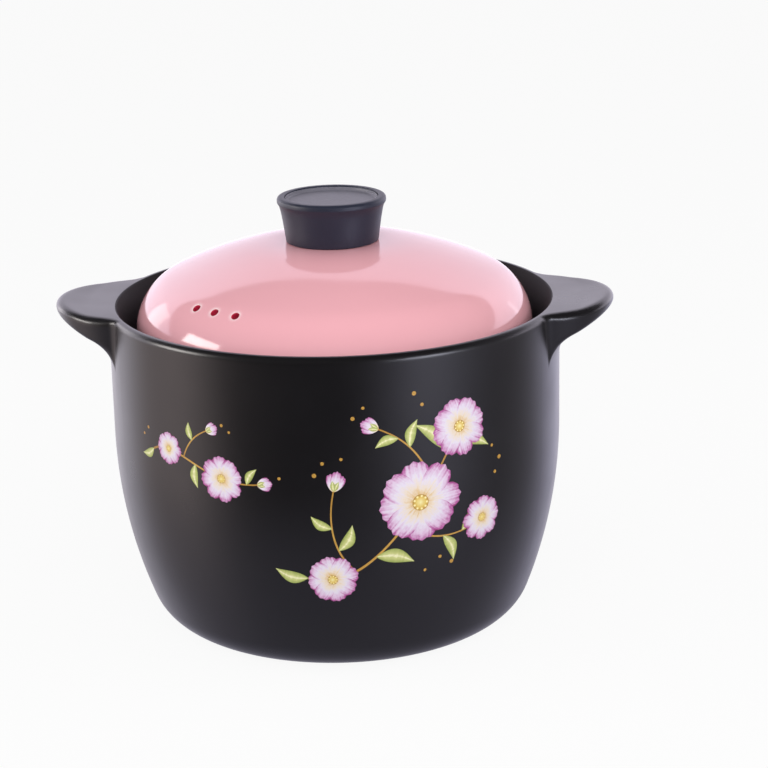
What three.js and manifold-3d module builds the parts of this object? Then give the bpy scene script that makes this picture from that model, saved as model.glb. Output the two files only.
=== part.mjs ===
// Stoneware stockpot with two lug handles and a dome lid.
// Millimetres, +Z up. The origin is the middle of the foot on the table, the handles lie along X,
// and -Y is the front.

import * as THREE from 'three';
import { mergeVertices } from 'three/addons/utils/BufferGeometryUtils.js';
import Module from 'manifold-3d';

const wasm = await Module();
wasm.setup();

// Pot body
const MOUTH_DIAMETER = 225;        // inside the rim
const RIM_HEIGHT = 170;            // table to rim
const LIP_WIDTH = 4.3;             // thickness of the wall at the rim
const LIP_EDGE = 1.6;              // rounding of the rim's two edges
const BELLY_ARC = 250;             // radius of the wall's curve below the straight part
const BELLY_HEIGHT = 104;          // where the wall turns straight
const HEEL_RADIUS = 22;            // rounding between wall and foot
const FOOT_WIDTH = 9;              // width of the unglazed foot ring
const FOOT_HEIGHT = 1.5;           // depth of the hollow inside the foot ring
const WALL = 7.5;                  // wall thickness
const FLOOR = 9;                   // floor thickness
const FLOOR_CORNER = 18;           // inside rounding between wall and floor

// Seat for the lid, inside the mouth
const SEAT_DEPTH = 20;             // rim down to the ledge
const SEAT_CLEARANCE = 3;          // from the lid's edge to the wall at the ledge
const SEAT_CORNER = 2;             // rounding of the ledge's corners
const LEDGE_HEIGHT = 6;            // height of the ledge's inner face
const LEDGE_FLARE = 8;             // rounding where the ledge runs out into the wall

// Lug handles
const HANDLE_REACH = 28.2;         // how far a handle stands out from the wall
const HANDLE_PLAN_RADIUS = 45;     // radius of the handle's outline from above
const HANDLE_PLAN_FILLET = 8;      // hollow where the outline meets the wall
const HANDLE_TIP = 5.2;            // thickness at the tip
const HANDLE_UPTURN = 17;          // length of the handle's upturned end
const HANDLE_RISE = 2.2;           // how far the tip turns up above the rim
const HANDLE_SLOPE = 23;           // rise of the underside, degrees
const HANDLE_UNDER_FILLET = 18;    // hollow between underside and wall
const HANDLE_LAND = 1;             // blunt edge where the handle runs out on the wall
const HANDLE_FOOT_WIDTH = 80;      // width at the foot, on the wall
const HANDLE_FOOT_CORNER = 9;      // rounding of the foot's two corners
const HANDLE_EDGE = 2;             // rounding of the top edge

// Dome lid
const LID_GAP = 9.8;               // from the lid's widest line to the mouth
const LID_THICKNESS = 6;
const DOME_RADIUS = 200;           // outside of the dome
const SHOULDER_RADIUS = 32;        // rounding between dome and edge
const EDGE_TURN = 9;               // how far the edge curls under, degrees
const FLANGE_INSET = 8.5;          // from the widest line to the locating flange
const FLANGE_CLEARANCE = 2.4;      // flange to ledge
const FLANGE_DEPTH = 7;            // below the lid's resting face
const FLANGE_THICKNESS = 5;

// Steam vents
const VENT_COUNT = 3;
const VENT_DIAMETER = 4;
const VENT_INSET = 12.9;           // from the lid's widest line
const VENT_BEARING = -127.2;       // middle vent, degrees from +X
const VENT_PITCH = 8.25;           // degrees between vents

// Knob
const KNOB_FOOT_DIAMETER = 47.6;
const KNOB_TOP_DIAMETER = 56;
const KNOB_HEIGHT = 23.2;
const KNOB_FLARE = 220;            // radius of the hollow side
const KNOB_WALL = 3.2;             // thickness of the skirt
const KNOB_WEB = 3;                // thickness under the inlay
const KNOB_RIM = 4;                // width of the rim around the inlay
const KNOB_EDGE = 1.9;             // rounding of the rim
const BOSS_DIAMETER = 15;
const LAND_MARGIN = 12;            // flat of the lid around the knob's foot
const INLAY_THICKNESS = 2;
const INLAY_DEPTH = 2.4;           // rim down to the inlay

// Fixing of the knob
const SCREW_DIAMETER = 6;
const SCREW_SHORT = 1.5;           // from the screw's tip to the insert's inner end
const HOLE_CLEARANCE = 1.2;        // screw to the hole in the lid
const HEAD_DIAMETER = 12;
const HEAD_HEIGHT = 3.6;
const HEAD_CROWN = 2;              // rounding of the head
const SLOT_LENGTH = 6.4;
const SLOT_WIDTH = 1.3;
const SLOT_DEPTH = 1.8;
const INSERT_DIAMETER = 9;
const INSERT_LENGTH = 10;
const WASHER_DIAMETER = 18;
const WASHER_THICKNESS = 1.2;
const CUSHION_DIAMETER = 22;
const CUSHION_THICKNESS = 2;
const CUSHION_MARGIN = 16;         // flat of the lid around the cushion washer
const GASKET_THICKNESS = 1.6;
const GASKET_SEAT = 1.4;           // how far the gasket reaches under the skirt

const GAP = 0.3;                   // between pieces that lie against each other
const BODY_SIDES = 60;             // facets of pot and lid
const KNOB_SIDES = 40;
const SMALL_SIDES = 24;
const EDGE_STEPS = 3;              // facets of a handle's top edge
const CHORD_ERROR = 0.15;          // how far a facet may cut inside its arc

// Colours and finishes
const BLACK_GLAZE = { color: 0x262325, roughness: 0.42 };
const PINK_GLAZE = { color: 0xecb0b9, roughness: 0.12 };
const PHENOLIC = { color: 0x3a3640, roughness: 0.4 };
const STIPPLED_PHENOLIC = { color: 0x4a4650, roughness: 0.6 };
const BLACK_SILICONE = { color: 0x2b2a2c, roughness: 0.7 };
const CLEAR_SILICONE = { color: 0xd8d4cd, roughness: 0.65 };
const BRASS = { color: 0xb5964e, roughness: 0.35, metalness: 1 };
const STEEL = { color: 0xb9bcc0, roughness: 0.3, metalness: 1 };

// Radii and heights that follow
const mouthRadius = MOUTH_DIAMETER / 2;
const potRadius = mouthRadius + LIP_WIDTH;
const lipEdge = Math.min(LIP_EDGE, LIP_WIDTH / 2);
const wallRadius = potRadius - WALL;
const floorHeight = FOOT_HEIGHT + FLOOR;
const lidRadius = mouthRadius - LID_GAP;
const seatHeight = RIM_HEIGHT - SEAT_DEPTH;
const seatRadius = lidRadius + SEAT_CLEARANCE;
const flangeRadius = lidRadius - FLANGE_INSET;
const ledgeRadius = flangeRadius + FLANGE_CLEARANCE;
const lidBase = seatHeight + GAP;
const shoulderCentre = point(
  lidRadius - SHOULDER_RADIUS,
  lidBase + SHOULDER_RADIUS * Math.sin(radians(EDGE_TURN)),
);
const domeRise = Math.sqrt((DOME_RADIUS - SHOULDER_RADIUS) ** 2 - shoulderCentre.x ** 2);
const domeCentre = shoulderCentre.y - domeRise;
const shoulderAngle = degrees(Math.atan2(domeRise, shoulderCentre.x));
const knobFootRadius = KNOB_FOOT_DIAMETER / 2;
const landRadius = knobFootRadius + LAND_MARGIN;
const landHeight = domeHeight(DOME_RADIUS, landRadius);
const underLandRadius = CUSHION_DIAMETER / 2 + CUSHION_MARGIN;
const underLandHeight = domeHeight(DOME_RADIUS - LID_THICKNESS, underLandRadius);
const knobFoot = landHeight + GAP;
const gasketTop = knobFoot + GASKET_THICKNESS;
const bossFoot = gasketTop + GAP;
const insertTop = bossFoot + GAP + INSERT_LENGTH;
const screwRadius = SCREW_DIAMETER / 2;
const insertRadius = INSERT_DIAMETER / 2;
const cushionTop = underLandHeight - GAP;
const washerTop = cushionTop - CUSHION_THICKNESS - GAP;
const headTop = washerTop - WASHER_THICKNESS - GAP;

function radians(angle) {
  return THREE.MathUtils.degToRad(angle);
}

function degrees(angle) {
  return THREE.MathUtils.radToDeg(angle);
}

// Height of a sphere about the dome's centre, at a distance from the axis
function domeHeight(sphereRadius, radius) {
  return domeCentre + Math.sqrt(sphereRadius ** 2 - radius ** 2);
}

function point(radius, height) {
  return new THREE.Vector2(radius, height);
}

// Points along an arc, with angles in degrees counted from the +x direction
function arc(centre, radius, from, to) {
  const step = 2 * degrees(Math.acos(1 - Math.min(CHORD_ERROR / radius, 1)));
  const count = Math.max(2, Math.ceil(Math.abs(to - from) / step));
  const points = [];
  for (let i = 0; i <= count; i += 1) {
    const angle = radians(from + ((to - from) * i) / count);
    points.push(point(centre.x + radius * Math.cos(angle), centre.y + radius * Math.sin(angle)));
  }
  return points;
}

// The arc that rounds the corner between two straight lines
function fillet(before, corner, after, radius) {
  const back = before.clone().sub(corner).normalize();
  const ahead = after.clone().sub(corner).normalize();
  const half = Math.acos(back.dot(ahead)) / 2;
  const middle = back.clone().add(ahead).normalize();
  const centre = corner.clone().addScaledVector(middle, radius / Math.sin(half));
  const start = corner.clone().addScaledVector(back, radius / Math.tan(half)).sub(centre);
  const end = corner.clone().addScaledVector(ahead, radius / Math.tan(half)).sub(centre);
  const from = degrees(start.angle());
  const sweep = degrees(Math.atan2(start.cross(end), start.dot(end)));
  return arc(centre, radius, from, from + sweep);
}

// A line of corners, each [radius, height] or [radius, height, rounding]
function rounded(corners) {
  const spots = corners.map(([radius, height]) => point(radius, height));
  return corners.flatMap(([, , rounding], i) =>
    rounding ? fillet(spots[i - 1], spots[i], spots[i + 1], rounding) : [spots[i]]);
}

// The arc between two points that bends towards the axis
function hollowArc(lower, upper, radius) {
  const chord = upper.clone().sub(lower);
  const outward = point(chord.y, -chord.x).normalize();
  const centre = lower.clone().add(upper).multiplyScalar(0.5);
  centre.addScaledVector(outward, Math.sqrt(radius ** 2 - chord.lengthSq() / 4));
  const from = degrees(lower.clone().sub(centre).angle());
  const to = degrees(upper.clone().sub(centre).angle());
  return arc(centre, radius, from, to);
}

// A profile turned about Z: it runs out along the underside, up the outside and back in over the top
function turned(profile, sides) {
  return new THREE.LatheGeometry(profile, sides).rotateX(Math.PI / 2);
}

// A flat ring, given as [inner radius, outer radius, lower height, upper height]
function ring([inner, outer, low, high], sides) {
  const corners = [[inner, low], [outer, low], [outer, high], [inner, high], [inner, low]];
  return turned(rounded(corners), sides);
}

// A closed geometry as a solid that can be cut and joined
function solid(geometry) {
  const bare = geometry.clone();
  bare.deleteAttribute('normal');
  bare.deleteAttribute('uv');
  const merged = mergeVertices(bare);
  const index = merged.index.array;
  const triangles = [];
  for (let i = 0; i < index.length; i += 3) {
    const [a, b, c] = index.slice(i, i + 3);
    if (a !== b && b !== c && c !== a) {
      triangles.push(a, b, c);
    }
  }
  return new wasm.Manifold(new wasm.Mesh({
    numProp: 3,
    vertProperties: new Float32Array(merged.attributes.position.array),
    triVerts: new Uint32Array(triangles),
  }));
}

function geometryOf(body) {
  const mesh = body.getMesh();
  const geometry = new THREE.BufferGeometry();
  geometry.setAttribute('position', new THREE.BufferAttribute(mesh.vertProperties, 3));
  geometry.setIndex(new THREE.BufferAttribute(mesh.triVerts, 1));
  geometry.computeVertexNormals();
  return geometry;
}

// Centre and end angle of the rounding between a level line and the belly's curve
function bellyCorner(bellyRadius, level, rounding) {
  const drop = BELLY_HEIGHT - level - rounding;
  const run = Math.sqrt((bellyRadius - rounding) ** 2 - drop ** 2);
  return {
    centre: point(potRadius - BELLY_ARC + run, level + rounding),
    angle: degrees(Math.atan2(-drop, run)),
  };
}

// Pot body: foot ring, heel, belly, straight wall, lip, lid ledge and floor in one profile
function potBody() {
  const belly = point(potRadius - BELLY_ARC, BELLY_HEIGHT);
  const innerArc = BELLY_ARC - WALL;
  const heel = bellyCorner(BELLY_ARC, 0, HEEL_RADIUS);
  const corner = bellyCorner(innerArc, floorHeight, FLOOR_CORNER);
  const footInner = heel.centre.x - FOOT_WIDTH;
  const ledgeFoot = seatHeight - LEDGE_HEIGHT;
  const flareFoot = ledgeFoot - (wallRadius - ledgeRadius);
  return turned([
    ...rounded([[0, FOOT_HEIGHT], [footInner, FOOT_HEIGHT], [footInner, 0]]),
    ...arc(heel.centre, HEEL_RADIUS, -90, heel.angle),
    ...arc(belly, BELLY_ARC, heel.angle, 0).slice(1),
    ...rounded([
      [potRadius, BELLY_HEIGHT],
      [potRadius, RIM_HEIGHT, lipEdge],
      [mouthRadius, RIM_HEIGHT, lipEdge],
      [seatRadius, seatHeight, SEAT_CORNER],
      [ledgeRadius, seatHeight, SEAT_CORNER],
      [ledgeRadius, ledgeFoot, SEAT_CORNER],
      [wallRadius, flareFoot, LEDGE_FLARE],
      [wallRadius, BELLY_HEIGHT],
    ]).slice(1),
    ...arc(belly, innerArc, 0, corner.angle).slice(1),
    ...arc(corner.centre, FLOOR_CORNER, corner.angle, -90).slice(1),
    point(0, floorHeight),
  ], BODY_SIDES);
}

// The handle's outline from above: a round nose with a hollow on each side
function handlePlan(rootRadius) {
  const middle = potRadius + HANDLE_REACH - HANDLE_PLAN_RADIUS;
  const toAxis = rootRadius + HANDLE_PLAN_FILLET;
  const toMiddle = HANDLE_PLAN_RADIUS + HANDLE_PLAN_FILLET;
  const x = (toAxis ** 2 - toMiddle ** 2 + middle ** 2) / (2 * middle);
  const y = Math.sqrt(toAxis ** 2 - x ** 2);
  const rootAngle = degrees(Math.atan2(y, x));
  const planAngle = degrees(Math.atan2(y, x - middle));
  const inside = point(mouthRadius, 0);
  return [
    inside.clone().rotateAround(point(0, 0), radians(-rootAngle)),
    ...arc(point(x, -y), HANDLE_PLAN_FILLET, 180 - rootAngle, 180 - planAngle),
    ...arc(point(middle, 0), HANDLE_PLAN_RADIUS, -planAngle, planAngle).slice(1, -1),
    ...arc(point(x, y), HANDLE_PLAN_FILLET, planAngle - 180, rootAngle - 180),
    inside.clone().rotateAround(point(0, 0), radians(rootAngle)),
  ];
}

// Upright block with an outline from above, rounded along its top edge
function uprightBlock(outline) {
  const block = new THREE.ExtrudeGeometry(new THREE.Shape(outline), {
    depth: RIM_HEIGHT - 2 * HANDLE_EDGE,
    bevelThickness: HANDLE_EDGE,
    bevelSize: HANDLE_EDGE,
    bevelOffset: -HANDLE_EDGE,
    bevelSegments: EDGE_STEPS,
  });
  return block.translate(0, 0, HANDLE_EDGE);
}

// Level block along X with the handle's outline as seen from its tip: it narrows to a rounded foot
function levelBlock(topWidth, footHeight, reach) {
  const top = topWidth / 2;
  const foot = HANDLE_FOOT_WIDTH / 2;
  const outline = rounded([
    [-top, RIM_HEIGHT],
    [-foot, footHeight, HANDLE_FOOT_CORNER],
    [foot, footHeight, HANDLE_FOOT_CORNER],
    [top, RIM_HEIGHT],
  ]);
  const block = new THREE.ExtrudeGeometry(new THREE.Shape(outline), { depth: reach, bevelEnabled: false });
  return block.rotateX(Math.PI / 2).rotateZ(Math.PI / 2);
}

// Lug handle: a ring with the handle's section, trimmed to its outlines from above and from its tip,
// with its end turned up
function handle() {
  const faceRadius = potRadius + GAP;
  const rootRadius = faceRadius + HANDLE_LAND;
  const slope = Math.tan(radians(HANDLE_SLOPE));
  const tipRadius = potRadius + HANDLE_REACH;
  const outerRadius = tipRadius + HANDLE_EDGE;
  const underside = (radius) => RIM_HEIGHT - HANDLE_TIP - (tipRadius - radius) * slope;
  const hollow = fillet(
    point(rootRadius, 0),
    point(rootRadius, underside(rootRadius)),
    point(outerRadius, underside(outerRadius)),
    HANDLE_UNDER_FILLET,
  );
  const lipAngle = degrees(Math.asin(lipEdge / (lipEdge + GAP)));
  const lip = arc(point(potRadius - lipEdge, RIM_HEIGHT - lipEdge), lipEdge + GAP, lipAngle, 0);
  const foot = point(faceRadius, hollow[0].y);
  const plan = handlePlan(rootRadius);
  const planWidth = 2 * Math.max(...plan.map((spot) => spot.y));
  const section = turned([
    foot,
    ...hollow,
    point(outerRadius, underside(outerRadius)),
    point(outerRadius, RIM_HEIGHT),
    ...lip,
    foot,
  ], BODY_SIDES);
  const trimmed = solid(section).intersect(solid(uprightBlock(plan)));
  const level = trimmed.intersect(solid(levelBlock(planWidth, foot.y, outerRadius)));
  return geometryOf(level.refineToLength(HANDLE_UPTURN / 2).warp((spot) => {
    const out = Math.hypot(spot[0], spot[1]) - (tipRadius - HANDLE_UPTURN);
    spot[2] += (HANDLE_RISE * Math.max(out, 0)) / HANDLE_UPTURN;
  }));
}

// Straight drill through the lid, square to its surface there
function ventDrill(bearing) {
  const distance = lidRadius - VENT_INSET;
  const onShoulder = distance > DOME_RADIUS * Math.cos(radians(shoulderAngle));
  const centre = onShoulder ? shoulderCentre : point(0, domeCentre);
  const radius = onShoulder ? SHOULDER_RADIUS : DOME_RADIUS;
  const tilt = Math.asin((distance - centre.x) / radius);
  const drillRadius = VENT_DIAMETER / 2;
  const drillLength = 4 * LID_THICKNESS;
  return new THREE.CylinderGeometry(drillRadius, drillRadius, drillLength, SMALL_SIDES)
    .rotateX(Math.PI / 2)
    .translate(0, 0, radius - LID_THICKNESS / 2)
    .rotateY(tilt)
    .translate(centre.x, 0, centre.y)
    .rotateZ(radians(bearing));
}

// Dome lid: hollow dome, curled edge, locating flange, flats for the knob, screw hole and vents
function lidDome() {
  const centre = point(0, domeCentre);
  const inner = DOME_RADIUS - LID_THICKNESS;
  const flangeInner = flangeRadius - FLANGE_THICKNESS;
  const flangeFoot = lidBase - FLANGE_DEPTH;
  const holeRadius = screwRadius + HOLE_CLEARANCE;
  const innerShoulder = SHOULDER_RADIUS - LID_THICKNESS;
  const elevation = (sphereRadius, radius) => degrees(Math.acos(radius / sphereRadius));
  const profile = [
    point(holeRadius, underLandHeight),
    ...arc(centre, inner, elevation(inner, underLandRadius), shoulderAngle),
    ...arc(
      shoulderCentre,
      innerShoulder,
      shoulderAngle,
      elevation(innerShoulder, flangeInner - shoulderCentre.x),
    ).slice(1),
    point(flangeInner, flangeFoot),
    point(flangeRadius, flangeFoot),
    point(flangeRadius, lidBase),
    ...arc(shoulderCentre, SHOULDER_RADIUS, -EDGE_TURN, shoulderAngle),
    ...arc(centre, DOME_RADIUS, shoulderAngle, elevation(DOME_RADIUS, landRadius)).slice(1),
    point(holeRadius, landHeight),
    point(holeRadius, underLandHeight),
  ];
  let body = solid(turned(profile, BODY_SIDES));
  for (let i = 0; i < VENT_COUNT; i += 1) {
    const bearing = VENT_BEARING + (i - (VENT_COUNT - 1) / 2) * VENT_PITCH;
    body = body.subtract(solid(ventDrill(bearing)));
  }
  return geometryOf(body);
}

// Knob: skirt, web and boss in one moulding, open below, with a recess for the inlay on top
const recessRadius = KNOB_TOP_DIAMETER / 2 - KNOB_RIM;
const knobTop = knobFoot + KNOB_HEIGHT;
const inlayTop = knobTop - INLAY_DEPTH;
const recessFloor = inlayTop - INLAY_THICKNESS - GAP;
const gasketRadius = knobFootRadius - KNOB_WALL + GASKET_SEAT;

function knobGrip() {
  const topRadius = KNOB_TOP_DIAMETER / 2;
  const skirtRadius = knobFootRadius - KNOB_WALL;
  const webUnderside = recessFloor - KNOB_WEB;
  const boreRadius = insertRadius + GAP;
  const bossRadius = BOSS_DIAMETER / 2;
  const rimEdge = Math.min(KNOB_EDGE, KNOB_RIM / 2);
  const side = hollowArc(point(knobFootRadius, knobFoot), point(topRadius, knobTop - rimEdge), KNOB_FLARE);
  return turned([
    ...rounded([
      [0, insertTop + GAP],
      [boreRadius, insertTop + GAP],
      [boreRadius, bossFoot],
      [bossRadius, bossFoot],
      [bossRadius, webUnderside],
      [skirtRadius, webUnderside],
      [skirtRadius, bossFoot],
      [gasketRadius + GAP, bossFoot],
      [gasketRadius + GAP, knobFoot],
    ]),
    ...side,
    ...arc(point(topRadius - rimEdge, knobTop - rimEdge), rimEdge, 0, 90).slice(1),
    ...arc(point(recessRadius + rimEdge, knobTop - rimEdge), rimEdge, 90, 180),
    ...rounded([[recessRadius, recessFloor], [0, recessFloor]]),
  ], KNOB_SIDES);
}

function knobInlay() {
  const radius = recessRadius - GAP;
  const low = recessFloor + GAP;
  return turned(rounded([[0, low], [radius, low], [radius, inlayTop], [0, inlayTop]]), KNOB_SIDES);
}

// Pan head screw, head down, with a cross slot
function lidScrew() {
  const headRadius = HEAD_DIAMETER / 2;
  const headFoot = headTop - HEAD_HEIGHT;
  const crown = Math.min(HEAD_CROWN, HEAD_HEIGHT / 2);
  const tip = insertTop - SCREW_SHORT;
  const body = turned(rounded([
    [0, headFoot],
    [headRadius, headFoot, crown],
    [headRadius, headTop],
    [screwRadius, headTop],
    [screwRadius, tip],
    [0, tip],
  ]), SMALL_SIDES);
  const slot = new THREE.BoxGeometry(SLOT_LENGTH, SLOT_WIDTH, 2 * SLOT_DEPTH).translate(0, 0, headFoot);
  const crossSlot = slot.clone().rotateZ(Math.PI / 2);
  return geometryOf(solid(body).subtract(solid(slot)).subtract(solid(crossSlot)));
}

const pot = new THREE.Group();

function addPiece(name, geometry, finish) {
  const piece = new THREE.Mesh(geometry, new THREE.MeshStandardMaterial(finish));
  piece.name = name;
  pot.add(piece);
  return piece;
}

const throughScrew = screwRadius + GAP;
const sleeve = [throughScrew, insertRadius, insertTop - INSERT_LENGTH, insertTop];
const gasketRing = [throughScrew, gasketRadius, knobFoot, gasketTop];
const cushionRing = [throughScrew, CUSHION_DIAMETER / 2, cushionTop - CUSHION_THICKNESS, cushionTop];
const washerRing = [throughScrew, WASHER_DIAMETER / 2, washerTop - WASHER_THICKNESS, washerTop];

addPiece('pot_body', potBody(), BLACK_GLAZE);
addPiece('handle_right', handle(), BLACK_GLAZE);
addPiece('handle_left', handle(), BLACK_GLAZE).rotation.z = Math.PI;
addPiece('lid_dome', lidDome(), PINK_GLAZE);
addPiece('knob_grip', knobGrip(), PHENOLIC);
addPiece('knob_inlay', knobInlay(), STIPPLED_PHENOLIC);
addPiece('knob_insert', ring(sleeve, SMALL_SIDES), BRASS);
addPiece('knob_gasket', ring(gasketRing, KNOB_SIDES), BLACK_SILICONE);
addPiece('silicone_washer', ring(cushionRing, KNOB_SIDES), CLEAR_SILICONE);
addPiece('steel_washer', ring(washerRing, KNOB_SIDES), STEEL);
addPiece('lid_screw', lidScrew(), STEEL);

export default pot;
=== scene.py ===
"""Looks of a glazed stoneware stockpot with a dome lid, built around its packed solids.

Metres, +Z up. The handles lie along X, and the decorated front faces -Y.
"""

import math

import bmesh
import bpy
from bpy.props import FloatProperty, FloatVectorProperty, PointerProperty
from mathutils import Matrix, Vector, noise


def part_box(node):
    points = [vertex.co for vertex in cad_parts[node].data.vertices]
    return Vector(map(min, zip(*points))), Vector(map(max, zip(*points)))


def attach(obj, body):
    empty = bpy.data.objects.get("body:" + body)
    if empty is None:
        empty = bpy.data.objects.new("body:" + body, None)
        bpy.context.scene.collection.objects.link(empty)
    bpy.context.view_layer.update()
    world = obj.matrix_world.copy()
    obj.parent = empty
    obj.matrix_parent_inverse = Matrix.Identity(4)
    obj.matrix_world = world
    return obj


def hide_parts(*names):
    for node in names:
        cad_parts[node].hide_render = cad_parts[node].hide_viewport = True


bl_info = {
    "name": "Stoneware stockpot",
    "version": (1, 0, 0),
    "blender": (4, 5, 0),
    "location": "3D View > Sidebar > Stockpot",
    "description": "Builds a glazed stockpot with a dome lid around its packed solids",
    "category": "Add Mesh",
}

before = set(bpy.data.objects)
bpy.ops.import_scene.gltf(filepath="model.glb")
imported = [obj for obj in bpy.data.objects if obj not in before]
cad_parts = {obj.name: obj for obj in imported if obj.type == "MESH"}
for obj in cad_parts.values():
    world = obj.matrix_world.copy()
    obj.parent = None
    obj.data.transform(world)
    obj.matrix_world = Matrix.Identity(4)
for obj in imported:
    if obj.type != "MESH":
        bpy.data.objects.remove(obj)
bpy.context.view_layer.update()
MM = 0.001

POT_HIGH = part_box("pot_body")[1]
HANDLE_LOW, HANDLE_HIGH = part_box("handle_right")
LID_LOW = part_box("lid_dome")[0]
KNOB_LOW, KNOB_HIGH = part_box("knob_grip")
INLAY_LOW, INLAY_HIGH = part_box("knob_inlay")
INSERT_LOW, INSERT_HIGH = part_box("knob_insert")
GASKET_LOW, GASKET_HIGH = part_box("knob_gasket")
CUSHION_LOW, CUSHION_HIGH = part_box("silicone_washer")
WASHER_LOW, WASHER_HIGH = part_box("steel_washer")
SCREW_LOW, SCREW_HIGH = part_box("lid_screw")

PRINT_ROOM = 0.2 * MM       # room for the print between the glaze and the solid's outside
PRINT_ROOT = 0.03 * MM      # how far a printed shape reaches into the glaze
WELD = 0.0005 * MM          # points closer than this become one
CREASE = math.radians(45)   # edges that turn by more than this stay sharp
EDGE_ROW = 1 * MM           # a row this far inside a flat keeps its shading flat


def linear(hex_colour):
    """An sRGB hex colour as linear red, green and blue."""
    channels = [int(hex_colour[i:i + 2], 16) / 255 for i in (1, 3, 5)]
    return [c / 12.92 if c <= 0.04045 else ((c + 0.055) / 1.055) ** 2.4 for c in channels]


def length(name, description, default):
    """A size that a user may change, in metres."""
    return FloatProperty(name=name, description=description, default=default, unit="LENGTH")


def degrees(name, description, default):
    """An angle that a user may change, given in degrees."""
    return FloatProperty(
        name=name, description=description, default=math.radians(default), subtype="ANGLE")


def colour(name, description, hex_colour):
    """A colour that a user may change."""
    return FloatVectorProperty(
        name=name, description=description, default=linear(hex_colour),
        subtype="COLOR", size=3, min=0, max=1)


class PotSizes(bpy.types.PropertyGroup):
    """Sizes of the pot and its two handles."""

    rim_height: length("Rim height", "Table to rim", POT_HIGH.z)
    radius: length("Outer radius", "Outside of the straight wall", POT_HIGH.x - PRINT_ROOM)
    mouth: length("Mouth radius", "Inside of the rim", 112.5 * MM)
    lip_inner: length("Inner lip", "Rounding of the rim's inner edge", 1.1 * MM)
    lip_edge: length("Lip edge", "How far the rim's outer edge rounds inward", 2.8 * MM)
    lip_drop: length("Lip drop", "How far the rim's outer edge rounds downward", 3.6 * MM)
    belly_arc: length("Belly arc", "Radius of the wall's curve", 250 * MM)
    belly_height: length("Belly height", "Where the wall turns straight", 104 * MM)
    heel: length("Heel", "Rounding between wall and foot", 25 * MM)
    foot_width: length("Foot width", "Width of the bare foot ring", 9 * MM)
    foot_height: length("Foot height", "Hollow inside the foot ring", 1.5 * MM)
    wall: length("Wall", "Thickness of the wall", 7.3 * MM)
    floor: length("Floor", "Thickness of the floor", 9 * MM)
    floor_corner: length("Floor corner", "Inside rounding above the floor", 18 * MM)
    seat_depth: length("Seat depth", "Rim down to the lid's ledge", 20 * MM)
    seat: length("Seat radius", "Wall at the ledge", 105.7 * MM)
    ledge: length("Ledge radius", "Inner edge of the ledge", 96.6 * MM)
    handle_tip: length("Handle tip", "Axis to the handle's tip", HANDLE_HIGH.x)
    handle_foot: length("Handle foot", "Table to the handle's foot", HANDLE_LOW.z - 0.6 * MM)
    nose: length("Handle nose", "Radius of the handle's round end, from above", 45 * MM)
    crease: length("Handle crease", "Hollow beside the handle", 8 * MM)
    taper: length("Handle taper", "How much narrower the handle gets down to its foot", 5 * MM)
    upturn: length("Upturn", "Length of the handle's upturned end", 17 * MM)
    tip_rise: length("Tip rise", "Rim up to the handle's tip", 2.2 * MM)
    hollow: length("Under hollow", "Hollow under the handle", 18 * MM)
    slope: degrees("Under slope", "Rise of the handle's underside", 23)
    handle_edge: length("Handle edge", "How far the handle's top rounds inward", 5 * MM)
    handle_drop: length("Handle drop", "How far the handle's top rounds downward", 4.2 * MM)
    under_edge: length("Under edge", "Softness of the handle's lower edge", 3.5 * MM)


class LidSizes(bpy.types.PropertyGroup):
    """Sizes of the dome lid and its vents."""

    radius: length("Radius", "Widest line of the lid", 102.7 * MM)
    base: length("Base", "Resting face", 150.3 * MM)
    thickness: length("Thickness", "Thickness of the dome", 6 * MM)
    dome: length("Dome radius", "Outside of the dome", 200 * MM)
    shoulder: length("Shoulder", "Rounding between dome and edge", 32 * MM)
    edge_turn: degrees("Edge turn", "How far the edge curls under", 9)
    flange: length("Flange radius", "Outside of the locating flange", 94.2 * MM)
    flange_foot: length("Flange foot", "Lower end of the flange", LID_LOW.z)
    flange_wall: length("Flange wall", "Thickness of the flange", 5 * MM)
    land: length("Land radius", "Where a level cut under the knob meets the dome", 35.8 * MM)
    land_blend: length("Land blend", "Where the dome starts to ease into the level", 48 * MM)
    under_land: length("Under land radius", "Flat under the lid", 27 * MM)
    hole: length("Screw hole", "Radius of the screw hole", 4.2 * MM)
    vent: length("Vent radius", "Radius of a steam vent", 2 * MM)
    vent_edge: length("Vent edge", "Soft edge of a vent in the glaze", 0.7 * MM)
    vent_place: length("Vent place", "Axis to the vents", 89.8 * MM)
    vent_bearing: degrees("Vent bearing", "Middle vent, from +X", -127.2)
    vent_pitch: degrees("Vent pitch", "Angle between vents", 8.25)


class KnobSizes(bpy.types.PropertyGroup):
    """Sizes of the knob and its fixings."""

    foot: length("Foot radius", "Knob on the lid", 23.8 * MM)
    top: length("Top radius", "Widest line of the knob", KNOB_HIGH.x)
    skirt: length("Skirt", "Thickness of the skirt", 3.2 * MM)
    web: length("Web", "Thickness under the inlay", 3 * MM)
    boss: length("Boss radius", "Boss around the insert", 7.5 * MM)
    gap: length("Gap", "Room between pieces", 0.3 * MM)
    shank: length("Shank radius", "Outside of the screw's thread", 3 * MM)
    pitch: length("Thread pitch", "Pitch of the screw's thread", 1 * MM)


class Colours(bpy.types.PropertyGroup):
    """Colours of the finishes."""

    pot_glaze: colour("Pot glaze", "Satin black glaze", "#0C0A0B")
    lid_glaze: colour("Lid glaze", "Pink gloss glaze", "#F3B2BB")
    phenolic: colour("Phenolic", "Moulded knob", "#232738")
    inlay: colour("Inlay", "Stippled disc on the knob", "#6E6C77")


def sizes(context, name):
    """One of the stockpot's groups of settings."""
    return getattr(context.scene, "stockpot_" + name)


def polar(radius, angle, height):
    """A point at a distance and angle round the pot's axis."""
    return Vector((radius * math.cos(angle), radius * math.sin(angle), height))


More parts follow.
